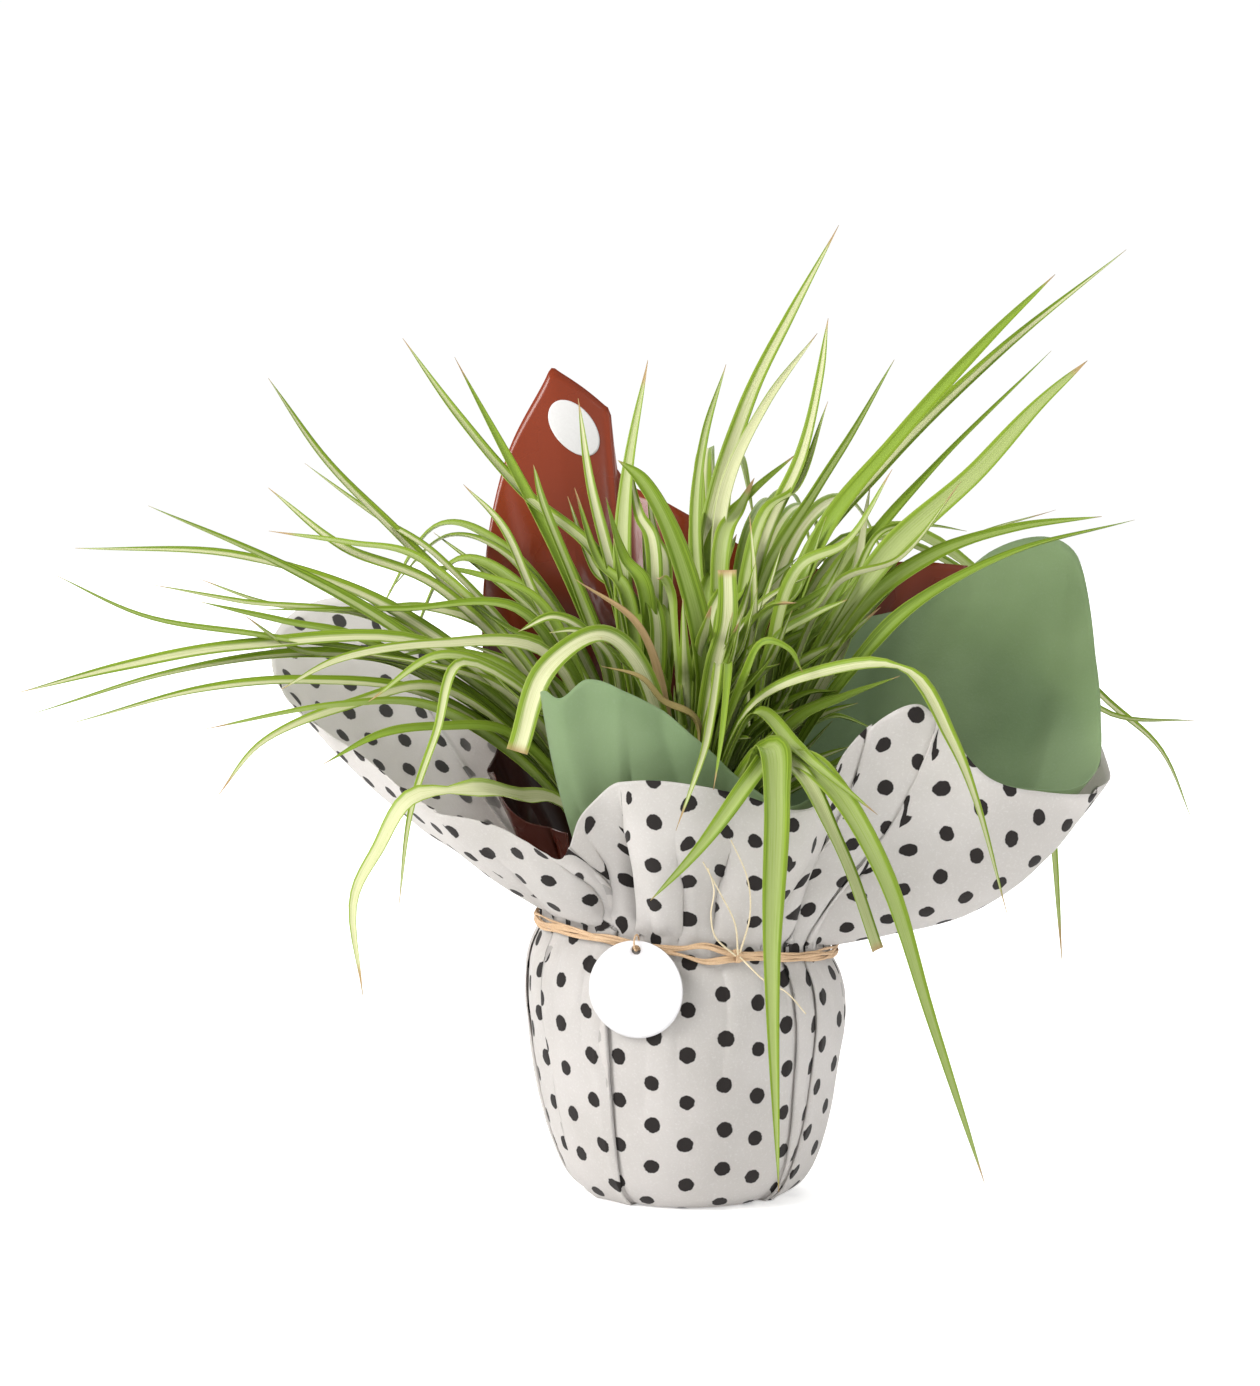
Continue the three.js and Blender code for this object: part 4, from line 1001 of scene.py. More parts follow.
green, green_turn, share = tucked_grid(GREEN_RIM, 2 * SHEET_INSET, 0.8, 44)
soft = 0.5 * bumps(green, 34.0, 21) + 0.25 * (1 - 2 * np.abs(bumps(green, 24.0, 22)))
green_share = np.concatenate([np.zeros(FOOT_ROWS), share])[None, :]
for start, end, high, wide in PINCHES:
    off = beside_crease(green_turn, green_share, start, end, wide)
    lasting = np.clip((green_share - end[1]) / PINCH_FADE, 0, 1)
    soft += high * lasting * np.exp(-(off**1.3))
soft[:, :FOOT_ROWS + 1] = 0
green = green + surface_normals(green, False) * soft[..., None]
green_piece = sheet_object("green_sheet_cloth", green, 0.32, False)
sage = nonwoven(
    "sage_cloth", colour(132, 154, 116), colour(120, 143, 105),
    fibre_share=0.04, sheer=0.34, lit=colour(196, 210, 166),
)
green_piece.data.materials.append(sage)
green_piece.data.materials.append(sage)
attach(green_piece, "root")
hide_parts("green_sheet")
print("green sheet, both faces, m2:", round(face_area(green_piece), 4))

# %% The red film and its creases
# Listed as the green sheet's are.
CREASES = [
    ((128, 0.78), (105, 0.5), 2.4, 3.0), ((131, 0.6), (119, 0.2), -1.8, 3.0),
    ((107, 0.98), (107.5, 0.15), 2.0, 1.6), ((100, 0.9), (96, 0.2), -1.6, 2.6),
    ((88, 0.95), (92, 0.1), 1.5, 2.2), ((76, 1.0), (70, 0.2), -1.4, 2.6),
    ((58, 0.9), (66, 0.1), 1.6, 2.4), ((44, 1.0), (50, 0.2), -1.2, 2.2),
    ((160, 0.9), (150, 0.1), 1.4, 3.0), ((182, 1.0), (176, 0.1), -1.4, 3.0),
    ((205, 0.9), (199, 0.1), 1.4, 2.4),
]
red, red_turn, share = tucked_grid(RED_RIM, SHEET_INSET, 0.6, 48)
crease = np.zeros(red.shape[:2])
lasting = np.sqrt(np.sin(np.pi * share).clip(0))
for start, end, high, wide in CREASES:
    crease[:, FOOT_ROWS:] += high * lasting * np.exp(-beside_crease(red_turn, share, start, end, wide))
crease[:, FOOT_ROWS:] += 0.5 * bumps(red[:, FOOT_ROWS:], 42.0, 31) * np.minimum(1, share * 4)
red = red + surface_normals(red, False) * crease[..., None]
red_piece = sheet_object("red_film", red, 0.3, False)

film, tree, shader = new_finish("red_brown_film")
where = places(tree)
tone = blend(tree, noise(tree, where, 9.0, 3.0), colour(134, 50, 15), colour(110, 38, 10))
scuffs = ease(tree, noise(tree, where, 260.0, 4.0, 0.7), 0.62, 0.8)
tone = blend(tree, times(tree, scuffs, 0.12), tone, colour(160, 84, 52))
# Low in the collar no light comes through from behind, and painted shade darkens the film's colour there. It
# is at its full colour at the second of these heights in metres.
PAINTED_SHADE_HEIGHTS = (0.2, 0.33)
tone = blend(tree, ease(tree, parts(tree, where)[2], *PAINTED_SHADE_HEIGHTS), colour(60, 20, 11), tone)
paint(tree, shader, tone, noise(tree, where, 30.0, 3.0), 0.2, 0.36)
shader.inputs["Specular IOR Level"].default_value = 0.3
shader.inputs["Coat Weight"].default_value = 0.15
shader.inputs["Coat Roughness"].default_value = 0.12
bump(tree, shader, noise(tree, where, 75.0, 2.0), 0.12, 0.001)
red_piece.data.materials.append(film)
red_piece.data.materials.append(film)
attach(red_piece, "root")
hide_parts("red_sheet")
print("red film, both faces, m2:", round(face_area(red_piece), 4))

# %% [markdown]
# ## The leaves
#
# A spider plant is a cluster of rosettes, called crowns. A blade is a long keeled strip: it
# rises from the crown, arches under its own weight and narrows to a point. The blades that the
# photograph shows are traced as a few pixels each with a depth, and the hidden ones are drawn
# by a rule from a seed. This way the picture's blades fall where they should, and the plant is
# full from every side. The CAD crowns hold both kinds as plain three-cornered strips.

# %% The blades that the photograph shows
# Each blade has the pixels that it passes over, root side first, the depth of its tip, its
# width in millimetres and, for some, how it differs from the rest: `face` turns it to the light,
# `twist` is in degrees, `pale` and `dry` change its colour, `cut` gives it a blunt end and `kink`
# a fold part of the way along. A pixel may give its own depth.
SEEN = {
    "west": [
        ([(395, 629), (282, 565), (148, 506)], -10, 8),
        ([(395, 612), (240, 556), (75, 549)], 15, 8),
        ([(420, 668), (271, 637), (147, 616), (54, 574)], -40, 4),
        ([(440, 650), (243, 647), (120, 667), (20, 691)], -45, 8),
        ([(430, 672), (310, 654), (169, 673), (31, 714)], -30, 8),
        ([(437, 700), (310, 682), (203, 690), (72, 723)], -52, 8),
        ([(437, 710), (338, 706), (206, 729)], -62, 7),
        ([(440, 690), (350, 706), (262, 743), (216, 797)], -62, 7),
        ([(510, 735), (440, 728), (381, 735), (322, 764)], -56, 7),
        ([(496, 637), (401, 539), (324, 460), (268, 378)], 60, 9),
        ([(440, 560), (372, 513), (305, 463)], 62, 5),
        ([(440, 590), (341, 547), (268, 488)], 30, 7),
        ([(420, 560), (350, 543), (269, 530)], 20, 5),
        ([(400, 625), (271, 605), (197, 578)], 35, 5),
        ([(380, 622), (240, 602), (152, 585)], 5, 5),
        ([(367, 643), (282, 621), (199, 601)], -20, 7),
        ([(400, 665), (296, 649), (243, 615)], -25, 6),
        ([(520, 613), (400, 610), (262, 609)], 0, 8),
        ([(545, 654), (440, 645), (340, 660), (282, 690)], -50, 8, {"pale": 0.6}),
    ],
    "north_west": [
        ([(601, 564), (524, 494), (460, 417), (403, 338)], 98, 8),
        ([(581, 604), (524, 488), (455, 357)], 80, 9),
        ([(538, 606), (502, 525), (464, 484)], 76, 6),
        ([(581, 598), (541, 499), (533, 465)], 62, 6),
        ([(540, 620), (490, 575), (433, 533)], 98, 5),
        ([(620, 606), (589, 480), (578, 398)], 60, 7),
        ([(636, 620), (600, 560), (540, 500)], 62, 10),
        ([(624, 600), (628, 480), (648, 360)], 60, 10),
    ],
    "north_east": [
        ([(696, 525), (705, 435), (725, 364)], 55, 6),
        ([(706, 553), (747, 407), (790, 316), (838, 225)], 95, 9),
        ([(724, 500), (766, 405), (817, 333)], 66, 7, {"pale": 1}),
        ([(764, 541), (801, 458), (821, 375), (829, 318)], 62, 8),
        ([(712, 545), (750, 495), (797, 452)], 60, 7),
        ([(764, 578), (815, 492), (855, 430), (895, 360)], 78, 6),
        ([(862, 540, 100), (1010, 605, 140), (1105, 712, 150), (1198, 722)], 150, 6),
        ([(850, 536, 105), (1000, 596, 148), (1105, 700, 160), (1160, 750, 165), (1192, 820)], 168, 6),
        ([(890, 530, 98), (1030, 640, 128), (1050, 800, 128), (1062, 965)], 120, 9),
    ],
    "east": [
        ([(808, 561), (881, 467), (999, 353), (1127, 250)], 58, 10),
        ([(820, 540), (897, 440), (988, 340), (1056, 275)], 52, 9),
        ([(859, 558), (935, 467), (1052, 351)], 46, 7),
        ([(881, 563), (978, 472), (1040, 405), (1088, 361)], 34, 12, {"face": 2, "twist": 8, "pale": 0.4}),
        ([(862, 609), (935, 555), (1015, 529), (1102, 517)], 20, 9),
        ([(900, 580), (975, 535), (1056, 510)], 40, 4),
        ([(870, 650), (921, 601), (1020, 550), (1135, 520)], -10, 9),
        ([(846, 640), (860, 560), (870, 485)], 22, 8, {"pale": 1}),
        ([(850, 590), (881, 532), (925, 526), (967, 532)], 30, 4),
    ],
    "south": [
        ([(637, 668, -45), (600, 637, -52), (545, 672, -62), (518, 752)], -66, 12,
         {"cut": 1, "face": 2, "twist": 4, "pale": 0.4}),
        ([(462, 663, -52), (437, 733, -68), (412, 810, -78), (400, 905)], -80, 5),
        ([(554, 802, -39), (521, 799, -56), (480, 791, -86), (412, 800, -93), (380, 850, -96),
          (355, 900, -97), (363, 996)], -97, 12, {"kink": 0.56, "pale": 0.5}),
        ([(640, 628, -40), (575, 580)], -45, 5, {"dry": 1}),
        ([(696, 722, -44), (662, 702, -50), (640, 678, -54), (601, 666)], -58, 6, {"dry": 0.8}),
        ([(705, 671, -29), (671, 537, -28), (640, 480, -27), (618, 460)], -27, 12, {"face": 4, "twist": 5}),
        ([(716, 670, -36), (727, 620, -36), (727, 570)], -34, 10, {"cut": 1, "face": 5, "twist": 0}),
        ([(752, 640, -24), (754, 580, -24), (750, 515)], -24, 5),
        ([(745, 680, -50), (765, 643, -58), (790, 650, -62), (803, 672)], -64, 6),
        ([(770, 748, -90), (775, 800, -108), (772, 950, -112), (780, 1192)], -112, 14,
         {"face": 2, "twist": 4, "pale": 0.3}),
        ([(768, 760, -86), (748, 784, -105), (700, 846, -114), (650, 900)], -116, 9, {"pale": 0.2}),
        ([(775, 762, -84), (802, 776, -100), (830, 829, -109), (852, 878, -110), (877, 950)], -110, 8,
         {"cut": 1, "pale": 0.7}),
        ([(794, 762, -86), (830, 786, -103), (882, 875, -112), (930, 1020, -112), (985, 1183)], -104, 12,
         {"face": 2, "twist": -6, "pale": 0.3}),
        ([(755, 714, -56), (794, 746, -82), (820, 768, -101), (877, 815)], -112, 8),
        ([(718, 664, -60), (706, 740, -92), (696, 776, -107), (677, 831)], -112, 4),
        ([(728, 664, -58), (723, 722, -90), (713, 790)], -106, 4),
        ([(752, 708, -50), (816, 676, -60), (905, 670, -76), (950, 740, -88), (975, 800, -95),
          (1008, 916)], -98, 9, {"kink": 0.56}),
        ([(796, 722, -45), (847, 696, -52), (900, 676)], -58, 7),
    ],
}
print("blades seen:", {name: len(leaves) for name, leaves in SEEN.items()})

# %% The blades that fill the rest of each crown
# Count, seed, angles, crest heights, reaches, and how far the tips stand above the crest.
FILL = {
    "west": [(6, 17, (160, 197), (235, 280), (115, 165), (-22, 12))],
    "north_west": [
        (4, 23, (104, 142), (270, 320), (60, 85), (5, 40)),
        (3, 29, (138, 144), (276, 296), (170, 205), (-60, -15)),
        (2, 67, (106, 140), (235, 285), (45, 64), (10, 50)),
    ],
    "north_east": [
        (5, 37, (34, 88), (265, 315), (55, 85), (5, 40)),
        (4, 43, (56, 74), (300, 312), (165, 200), (-70, -20)),
        (2, 47, (76, 88), (320, 332), (160, 185), (-60, -15)),
        (2, 71, (40, 80), (225, 290), (38, 60), (5, 45)),
    ],
    "east": [(5, 41, (-13, 16), (240, 290), (70, 125), (0, 40))],
    "south": [
        (6, 53, (232, 322), (238, 275), (40, 66), (0, 32)),
        (2, 79, (236, 320), (210, 250), (34, 52), (5, 35)),
    ],
}
# Short leaves that stand close together in the thick of the plant. The CAD crowns do without. Their colours
# carry painted shade: they get only the darker greens and the narrower cream stripes.
THICKET = {
    "west": [(7, 229, (158, 200), (212, 262), (58, 120), (-8, 22))],
    "north_west": [(4, 239, (104, 142), (235, 290), (36, 66), (5, 40))],
    "north_east": [(5, 233, (30, 88), (228, 290), (38, 68), (5, 40))],
    "east": [
        (9, 227, (-17, 17), (228, 282), (42, 78), (5, 35)),
        (8, 241, (-19, 10), (180, 224), (50, 84), (-4, 20)),
        (9, 263, (0, 22), (186, 232), (64, 98), (-8, 14)),
    ],
    "south": [
        (12, 211, (294, 332), (218, 258), (34, 62), (4, 30)),
        (6, 223, (246, 292), (200, 236), (22, 40), (5, 22)),
        (7, 251, (308, 334), (178, 216), (44, 74), (0, 18)),
    ],
}
CROWNS = {
    "west": (150, 204), "north_west": (96, 150), "north_east": (24, 96), "east": (-22, 24),
    "south": (204, 338),
}
CROWN_FROM_AXIS = 27
ROOT = {"inner_ring": 1, "outer_ring": 8, "height": 98}


def chances(seed):
    """A repeatable run of numbers from 0 to 1."""
    state = seed
    while True:
        state = state * 16807 % 2147483647
        yield state / 2147483647


def between(pair, share):
    return pair[0] + (pair[1] - pair[0]) * share


def filling(count, seed, turns, crests, reaches, droops, painted_shade=False):
    run = chances(seed)
    found = []
    for number in range(count):
        turn = between(turns, (number + 0.2 + 0.6 * next(run)) / count)
        far = between(reaches, next(run))
        high = between(crests, next(run))
        end = high + between(droops, next(run))
        wide = 6 + 3 * next(run)
        places_along = ((far * 0.55, high - 12), (far * 0.78, high), (far, end))
        found.append(([around_axis(turn, r, z) for r, z in places_along], wide, {"painted_shade": painted_shade}))
    return found


def traced(leaf, centre):
    over, tip_depth, wide, *rest = leaf
    found = []
    for number, spot in enumerate(over):
        even = centre[1] + (tip_depth - centre[1]) * (number + 1) / len(over)
        last = number == len(over) - 1
        depth = spot[2] if len(spot) > 2 else (tip_depth if last else even)
        found.append(from_photo(spot[0], spot[1], depth))
    return found, wide, {"face": 1.4, **(rest[0] if rest else {})}


def middle_line(points, centre):
    """Steep blades stand in the middle of the crown, and low ones round its edge."""
    heading = math.atan2(points[0][1] - centre[1], points[0][0] - centre[0])
    away = math.hypot(points[0][1] - centre[1], points[0][0] - centre[0])
    steep = math.atan2(points[0][2] - ROOT["height"], away) / (math.pi / 2)
    ring = between((ROOT["outer_ring"], ROOT["inner_ring"]), steep)
    ahead = np.array([math.cos(heading), math.sin(heading), 0])
    root = centre + ahead * ring + np.array([0, 0, ROOT["height"]])
    rise = centre + ahead * between((ring, away), 0.3)
    rise = rise + np.array([0, 0, between((ROOT["height"], points[0][2]), 0.62)])
    return [root, rise, *points]


print("hidden blades:", {name: sum(band[0] for band in bands) for name, bands in FILL.items()})

# %% One blade as a closed strip
# Across the blade, -1 and 1 are its two edges and 0 is its keel.
ACROSS = np.array([-1, -0.72, -0.38, 0, 0.38, 0.72, 1])
BLADE_RINGS = 44
FULLNESS = 1.18
# Each half of the blade rises by this many degrees at the root, and by half as many at the tip.
CHANNEL = 30
KEEL_DEPTH = 0.5
THICK = {"edge": 0.2, "keel": 0.6}
THINNEST = 0.12
TO_LIGHT = np.array([0.0, -0.94, 0.34])


def blade(points, wide, how, seed):
    """Points of the strip's rings, and how far along the blade each ring lies. Across each ring the points
    follow ACROSS on the top, and then back on the underside.
    """
    rng = np.random.default_rng(seed)
    share = np.linspace(0, 1, BLADE_RINGS)
    line = smooth_curve(points, share)
    tangent = unit(np.gradient(line, axis=0))
    foot, tip = line[0], line[-1]
    across = unit(np.array([foot[1] - tip[1], tip[0] - foot[0], 0.0]))
    side = unit(across - tangent * (tangent @ across)[:, None])
    up = np.cross(tangent, side)

    facing = how.get("face", 0.9) * np.clip(share * 3, 0, 1)[:, None]
    toward = TO_LIGHT - tangent * (tangent @ TO_LIGHT)[:, None]
    up = unit(up + facing * toward)
    side = np.cross(up, tangent)
    twist = np.radians(how.get("twist", rng.uniform(-25, 25))) * share**1.6
    twist = (twist + np.radians(8) * np.sin(share * rng.uniform(6, 11) + rng.uniform(0, 6)))[:, None]
    side, up = side * np.cos(twist) + up * np.sin(twist), up * np.cos(twist) - side * np.sin(twist)

    sway = 0.5 * np.sin(share * rng.uniform(5, 9) + rng.uniform(0, 6)) * share
    line = line + side * sway[:, None]
    grow = np.minimum(1, 0.3 + 1.6 * share)
    taper = 1 - 0.25 * share if how.get("cut") else (1 - share**2.6) ** 0.9
    half = FULLNESS * wide * grow * taper / 2 * (1 + 0.04 * np.sin(share * 23 + rng.uniform(0, 6)))
    if "kink" in how:
        half = half * (1 - 0.6 * np.exp(-(((share - how["kink"]) / 0.03) ** 2)))
    half = np.maximum(half, THINNEST)[:, None]
    channel = np.radians(CHANNEL * (1 - 0.5 * share))[:, None]
    keel = -KEEL_DEPTH * np.minimum(1, half / 1.5)
    lift = (half * np.sin(channel) - keel) * np.abs(ACROSS) ** 1.25 + keel
    thick = between((THICK["edge"], THICK["keel"]), (1 - np.abs(ACROSS)) ** 2) * np.minimum(1, half / 1.2)
    spread = line[:, None] + side[:, None] * (half * np.cos(channel) * ACROSS)[..., None]
    top = spread + up[:, None] * (lift + thick / 2)[..., None]
    under = spread + up[:, None] * (lift - thick / 2)[..., None]
    rings = np.concatenate([top, under[:, ::-1]], 1)
    walked = np.concatenate([[0], np.linalg.norm(np.diff(line, axis=0), axis=1).cumsum()])
    return rings, walked


# %% Grow the five crowns
SOIL_TOP = 100
YOUNG = {"count": 7, "turn": 137.5}


def young(centre, seed):
    """The short new blades in the middle of a crown."""
    rng = np.random.default_rng(seed)
    found = []
    for number in range(YOUNG["count"]):
        turn = number * YOUNG["turn"] + rng.uniform(-20, 20)
        far, high = rng.uniform(9, 24), rng.uniform(165, 235)
        inner = around_axis(turn, far * 0.45, between((SOIL_TOP, high), 0.6))
        outer = around_axis(turn, far, high)
        found.append(([centre + inner, centre + outer], rng.uniform(5, 8), {}))
    return found


crown_pieces = []
for number, (name, (first_turn, last_turn)) in enumerate(CROWNS.items()):
    centre = around_axis((first_turn + last_turn) / 2, CROWN_FROM_AXIS, 0)
    leaves = [traced(leaf, centre) for leaf in SEEN[name]]
    leaves += [leaf for band in FILL[name] for leaf in filling(*band)]
    leaves += [leaf for band in THICKET[name] for leaf in filling(*band, painted_shade=True)]
    leaves += young(centre, 300 + number)
    points, faces, facts = [], [], []
    for index, (spots, wide, how) in enumerate(leaves):
        seed = 1000 * number + index
        rings, walked = blade(middle_line(spots, centre), wide, how, seed)
        count, sides = rings.shape[:2]
        faces += ring_faces(count, sides, sum(len(p) for p in points))
        points.append(rings.reshape(-1, 3))
        # Painted shade: a blade in the thick of the plant gets only the darker tones, so a darker green and
        # a narrower cream stripe.
        tone = np.random.default_rng(5000 + seed).uniform(0, 0.35 if how.get("painted_shade") else 1)
        place = np.zeros((count, sides, 3))
        place[..., 0] = np.concatenate([ACROSS, ACROSS[::-1]])
        place[..., 1] = walked[:, None]
        place[..., 2] = tone
        more = np.zeros((count, sides, 3))
        more[..., 0] = (walked / walked[-1])[:, None]
        more[..., 1] = np.repeat([0, 1], len(ACROSS))
        more[..., 2] = how.get("dry", 0) - how.get("pale", 0)
        facts.append((place.reshape(-1, 3), more.reshape(-1, 3)))
    piece = mesh_object("leaves_" + name, np.concatenate(points), faces)
    add_attribute(piece, "blade_place", np.concatenate([f[0] for f in facts]))
    add_attribute(piece, "blade_more", np.concatenate([f[1] for f in facts]))
    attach(piece, "root")
    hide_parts("crown_" + name)
    crown_pieces.append(piece)
    print(name, "blades:", len(leaves), "faces:", len(piece.data.polygons))

# %% [markdown]
# ### The leaf's finish
#
# The blades are green at their edges and cream down the middle, and the border between the two
# is drawn out into fine streaks, because both colours follow the veins. Noise that is stretched
# along the blade gives such streaks. The root is pale, the tip of many a blade is dry and tan,
# and the underside is duller. Leaves let light through, which a little translucency gives.

# %% Leaf material
leaf_finish, tree, shader = new_finish("striped_leaf")
across, walked, tone = parts(tree, attribute(tree, "blade_place", "Vector"))
along, under, dry = parts(tree, attribute(tree, "blade_more", "Vector"))
pale = sums(tree, "MAXIMUM", times(tree, dry, -1.0), 0.0)


def streaks(per_blade, per_mm, seed):
    """Noise drawn out along the blade, different on every blade."""
    x = plus(tree, times(tree, across, per_blade), times(tree, tone, 171.0))
    y = plus(tree, times(tree, walked, per_mm), seed)
    where = node(tree, "ShaderNodeCombineXYZ", {0: x, 1: y}).outputs[0]
    return noise(tree, where, 1.0, 2.0, 0.6)


edge = sums(tree, "ABSOLUTE", across)
border = plus(tree, times(tree, tone, 0.24), 0.34)
border = plus(tree, border, times(tree, pale, 0.4))
wander = minus(tree, streaks(5, 0.012, 3.0), 0.5)
border = plus(tree, border, times(tree, wander, 0.6))
stripe = ease(tree, minus(tree, border, edge), -0.16, 0.14)
fine = streaks(22, 0.02, 9.0)
stripe = times(tree, stripe, ease(tree, fine, 0.12, 0.5))
vivid = sums(tree, "FRACT", times(tree, tone, 7.3))
vivid = sums(tree, "MAXIMUM", ease(tree, vivid, 0.1, 0.75), pale)
green = blend(tree, ease(tree, streaks(11, 0.015, 5.0), 0.3, 0.7), colour(80, 108, 12), colour(130, 156, 38))
green = blend(tree, times(tree, tone, 0.8), green, colour(136, 162, 46))
cream = blend(tree, fine, colour(184, 188, 132), colour(216, 215, 180))
cream = blend(tree, vivid, colour(134, 160, 58), cream)
skin = blend(tree, stripe, green, cream)
pale_edge = ease(tree, edge, 0.9, 1.0)
skin = blend(tree, times(tree, pale_edge, 0.4), skin, colour(186, 198, 110))
root_share = ease(tree, minus(tree, 0.16, along), 0.0, 0.16)
skin = blend(tree, times(tree, root_share, 0.7), skin, colour(206, 212, 150))
skin = blend(tree, times(tree, under, 0.3), skin, colour(120, 142, 62))
tip_start = minus(tree, 0.995, times(tree, sums(tree, "POWER", tone, 2.0), 0.045))
tip = ease(tree, minus(tree, along, tip_start), -0.012, 0.012)
browned = sums(tree, "MAXIMUM", tip, dry)
tan = blend(tree, fine, colour(150, 118, 78), colour(196, 170, 122))
skin = blend(tree, browned, skin, tan)
paint(tree, shader, skin, streaks(9, 0.05, 13.0), 0.34, 0.52)
shader.inputs["Specular IOR Level"].default_value = 0.25
ribs = sums(tree, "SINE", times(tree, across, 34.0))
bump(tree, shader, plus(tree, ribs, times(tree, fine, 2.0)), 0.2, 0.0002)
# Light that comes through a leaf is yellower than light that it throws back.
lit_through = blend(tree, 0.2, skin, colour(160, 184, 40))
lit_from_behind(tree, shader, 0.16, lit_through)
for piece in crown_pieces:
    piece.data.materials.append(leaf_finish)

# %% [markdown]
# ## The tag and the sticker
#
# The tag is a punched disc of thick card on the string's loop, and the sticker is a disc of paper
# that follows the red film under it. Both are drawn as rings of points between two circles. The
# sticker's points are then dropped onto the film, so it bends with it and lies close.

# %% Discs from rings of points
def disc_grid(radius, hole, hole_up, columns=96, rows=18):
    """Points from the hole's edge to the rim, as sideways and upwards places."""
    a = np.linspace(0, 2 * math.pi, columns, endpoint=False)[:, None]
    share = np.linspace(0, 1, rows)[None, :] ** 0.9
    size = hole + (radius - hole) * share
    return size * np.cos(a), size * np.sin(a) + hole_up * (1 - share)


# %% The round tag
sideways, upwards = disc_grid(TAG["radius"], TAG["hole"], TAG["radius"] - TAG["hole_from_edge"])
curl = 0.9 * (sideways / TAG["radius"]) ** 2 - 0.5 * np.clip(-upwards / TAG["radius"], 0, 1) ** 2
outward = around_axis(TAG["angle"], 1, 0)
across = around_axis(TAG["angle"] + 90, 1, 0)
middle_height = hole_height - TAG["radius"] + TAG["hole_from_edge"]
middle = around_axis(TAG["angle"], TAG["stand_off"], middle_height)
card = middle + sideways[..., None] * across + upwards[..., None] * (0, 0, 1)
card = card + curl[..., None] * outward
tag_piece = sheet_object("round_tag", card, TAG["thickness"], True)

board, tree, shader = new_finish("white_board")
where = places(tree)
fibres = noise(tree, where, 1400.0, 4.0, 0.6)
tone = blend(tree, ease(tree, fibres, 0.35, 0.7), colour(203, 201, 203), colour(210, 209, 210))
cloud = ease(tree, noise(tree, where, 45.0, 2.0), 0.4, 0.7)
tone = blend(tree, times(tree, cloud, 0.35), tone, colour(199, 197, 202))
paint(tree, shader, tone, fibres, 0.5, 0.68)
bump(tree, shader, fibres, 0.15, 0.0002)
tag_piece.data.materials.append(board)
tag_piece.data.materials.append(board)
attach(tag_piece, "root")
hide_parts("tag")

# %% The sticker on the film
STICKER = {"angle": 114, "along": 0.9, "radius": 13, "thickness": 0.2, "clear": 0.12, "middle": 0.4}
# Its directions are measured between places this many degrees and this share of the way away.
NEAR = {"angle": 4, "along": 0.05}
CAST_FROM = 20


def on_film(angle_off, along_off):
    angle = np.array([float(STICKER["angle"] + angle_off)])
    out, up = collar_line(RED_RIM, SHEET_INSET, angle, STICKER["along"] + along_off)
    return around_axis(angle, out, up)[0]


centre = on_film(0, 0)
across = unit(on_film(-NEAR["angle"], 0) - on_film(NEAR["angle"], 0))
upward = unit(on_film(0, NEAR["along"]) - on_film(0, -NEAR["along"]))
to_viewer = unit(np.cross(across, upward))
to_viewer = to_viewer if to_viewer[1] < 0 else -to_viewer
film_tree = BVHTree.FromPolygons(
    [v.co[:] for v in red_piece.data.vertices], [p.vertices[:] for p in red_piece.data.polygons]
)
sideways, upwards = disc_grid(STICKER["radius"], STICKER["middle"], 0, rows=14)
flat = centre + sideways[..., None] * across + upwards[..., None] * upward + CAST_FROM * to_viewer
label = np.zeros_like(flat)
for spot in np.ndindex(flat.shape[:2]):
    hit = film_tree.ray_cast(Vector(flat[spot]) * MM, Vector(-to_viewer))[0]
    label[spot] = np.array(hit) / MM + to_viewer * (STICKER["thickness"] + STICKER["clear"])
if np.dot(surface_normals(label, True)[0, 3], to_viewer) < 0:
    label = label[::-1]
sticker_piece = sheet_object("round_sticker", label, STICKER["thickness"], True, True)
paper_label, tree, shader = new_finish("sticker_paper")
where = places(tree)
grain = noise(tree, where, 900.0, 3.0)
tone = blend(tree, grain, colour(202, 200, 199), colour(212, 211, 210))
paint(tree, shader, tone, grain, 0.32, 0.45)
bump(tree, shader, grain, 0.1, 0.0002)
sticker_piece.data.materials.append(paper_label)
sticker_piece.data.materials.append(paper_label)
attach(sticker_piece, "root")
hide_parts("sticker")
print("sticker centre in mm:", centre.round(1))

# %% [markdown]
# ## Pot and soil
#
# The nursery pot stays as the CAD model has it, because the wrap hides it, and takes a moulded
# plastic finish. The soil can be seen between the leaves from above, so it is a new piece: a
# low dome of peat with lumps, on which crumbs and a few white grains of perlite lie loose.

# %% The pot's moulded plastic
moulded, tree, shader = new_finish("pot_plastic")
where = places(tree)
tone = blend(tree, noise(tree, where, 30.0, 3.0), colour(96, 52, 36), colour(112, 62, 44))
paint(tree, shader, tone, noise(tree, where, 300.0, 3.0), 0.45, 0.65)
bump(tree, shader, noise(tree, where, 1800.0, 2.0), 0.15, 0.0002)
pot_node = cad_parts["pot"]
pot_node.data.materials.clear()
pot_node.data.materials.append(moulded)

# %% The soil's lumpy dome
SOIL = {"mound": 3, "radius": 56.2, "low_radius": 41, "bottom": 4.5, "columns": 120}


def soil_height(out):
    return SOIL_TOP + SOIL["mound"] * (1 - (out / SOIL["radius"]) ** 2)


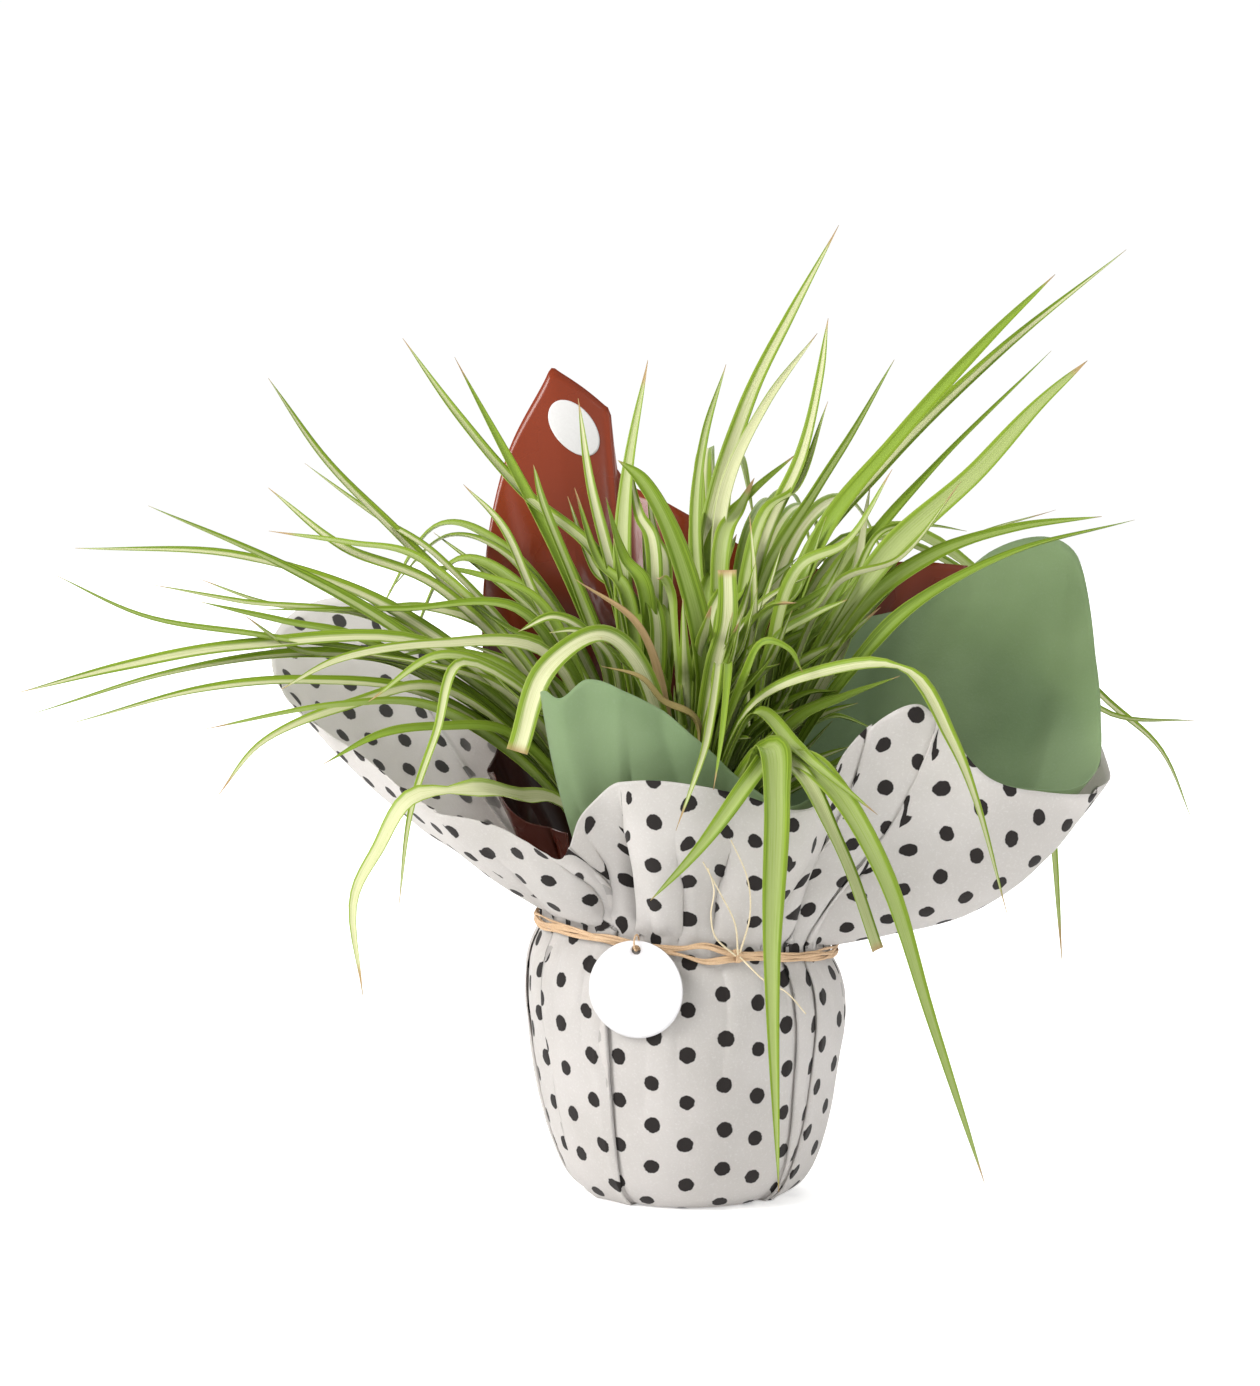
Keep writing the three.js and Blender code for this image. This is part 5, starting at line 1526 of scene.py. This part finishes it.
turns = np.linspace(0, 360, SOIL["columns"], endpoint=False)[:, None]
size = np.concatenate([np.linspace(0.6, SOIL["radius"], 40), [SOIL["radius"] + 0.2]])[None, :]
top_soil = around_axis(turns, size, soil_height(size))
lumps = 1.6 * bumps(top_soil, 9.0, 71) + 0.9 * bumps(top_soil, 4.0, 72) + 0.5 * bumps(top_soil, 1.9, 73)
top_soil[..., 2] += lumps * np.clip((SOIL["radius"] - size) / 6, 0.1, 1) - 0.6
low_ring = around_axis(turns[:, 0], SOIL["low_radius"], SOIL["bottom"])
rings = np.concatenate([np.swapaxes(top_soil, 0, 1), low_ring[None]]).reshape(-1, 3)
dome_faces = [f[::-1] for f in ring_faces(len(top_soil[0]) + 1, SOIL["columns"])]
print("points of the dome:", len(rings))

# %% Crumbs and perlite on the soil
CRUMBS = {"count": 520, "white_every": 7, "within": 0.97, "flat": 0.75}

points, faces, kinds = [rings], dome_faces, [np.zeros(len(rings))]
golden = (1 + math.sqrt(5)) / 2
ball = np.array([(-1, golden, 0), (1, golden, 0), (-1, -golden, 0), (1, -golden, 0), (0, -1, golden),
                 (0, 1, golden), (0, -1, -golden), (0, 1, -golden), (golden, 0, -1), (golden, 0, 1),
                 (-golden, 0, -1), (-golden, 0, 1)]) / 1.9
BALL_FACES = np.array([(0, 11, 5), (0, 5, 1), (0, 1, 7), (0, 7, 10), (0, 10, 11), (1, 5, 9), (5, 11, 4),
                       (11, 10, 2), (10, 7, 6), (7, 1, 8), (3, 9, 4), (3, 4, 2), (3, 2, 6), (3, 6, 8),
                       (3, 8, 9), (4, 9, 5), (2, 4, 11), (6, 2, 10), (8, 6, 7), (9, 8, 1)])
rng = np.random.default_rng(12)
for number in range(CRUMBS["count"]):
    turn = rng.uniform(0, 360)
    out = SOIL["radius"] * CRUMBS["within"] * math.sqrt(rng.uniform(0, 1))
    white = number % CRUMBS["white_every"] == 0
    uneven = rng.uniform(0.75, 1.25, ball.shape)
    crumb = ball * uneven * (rng.uniform(0.7, 1.6) if white else rng.uniform(0.5, 1.9))
    high = soil_height(out) + rng.uniform(-0.4, 0.9)
    faces += [*(BALL_FACES + sum(len(p) for p in points))]
    points.append(crumb * (1, 1, CRUMBS["flat"]) + around_axis(turn, out, high))
    kinds.append(np.full(len(ball), 1.0 if white else rng.uniform(0, 0.4)))
soil_piece = mesh_object("soil_dome", np.concatenate(points), faces, False)
add_attribute(soil_piece, "perlite", np.concatenate(kinds))

peat, tree, shader = new_finish("peat")
where = places(tree)
damp = noise(tree, where, 120.0, 5.0, 0.7)
tone = blend(tree, ease(tree, damp, 0.3, 0.7), colour(38, 27, 20), colour(84, 62, 44))
kind = attribute(tree, "perlite")
tone = blend(tree, ease(tree, kind, 0.0, 0.5), tone, colour(98, 74, 52))
tone = blend(tree, ease(tree, kind, 0.6, 0.9), tone, colour(216, 212, 202))
paint(tree, shader, tone, damp, 0.8, 1.0)
bump(tree, shader, noise(tree, where, 700.0, 4.0, 0.7), 0.7, 0.0008)
soil_piece.data.materials.append(peat)
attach(soil_piece, "root")
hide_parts("soil")
print("soil faces:", len(soil_piece.data.polygons))

# %% [markdown]
# ## Flat sizes of the sheets and the scene's box
#
# A real sheet is cut flat before it is gathered, so its flat size is given and set beside the area of the
# shaped one. Then the box of the whole scene is set beside the CAD model's.

# %% Flat sizes of the three sheets
def flat_sheet(piece, area):
    share = face_area(piece) / 2 / area
    print(piece.name, "shaped area over flat area:", round(share, 2))


flat_sheet(wrap_piece, 0.48 * 0.48)
green_area, red_area = face_area(green_piece) / 2, face_area(red_piece) / 2
flat_sheet(green_piece, min(green_area, 0.3 * 0.25))
flat_sheet(red_piece, min(red_area, 0.42 * 0.3))

# %% The two boxes, side by side
low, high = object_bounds()
grown = zip((*cad_low, *high), (*low, *cad_high))
print("grown by in mm:", [round((a - b) / MM, 1) for a, b in grown])
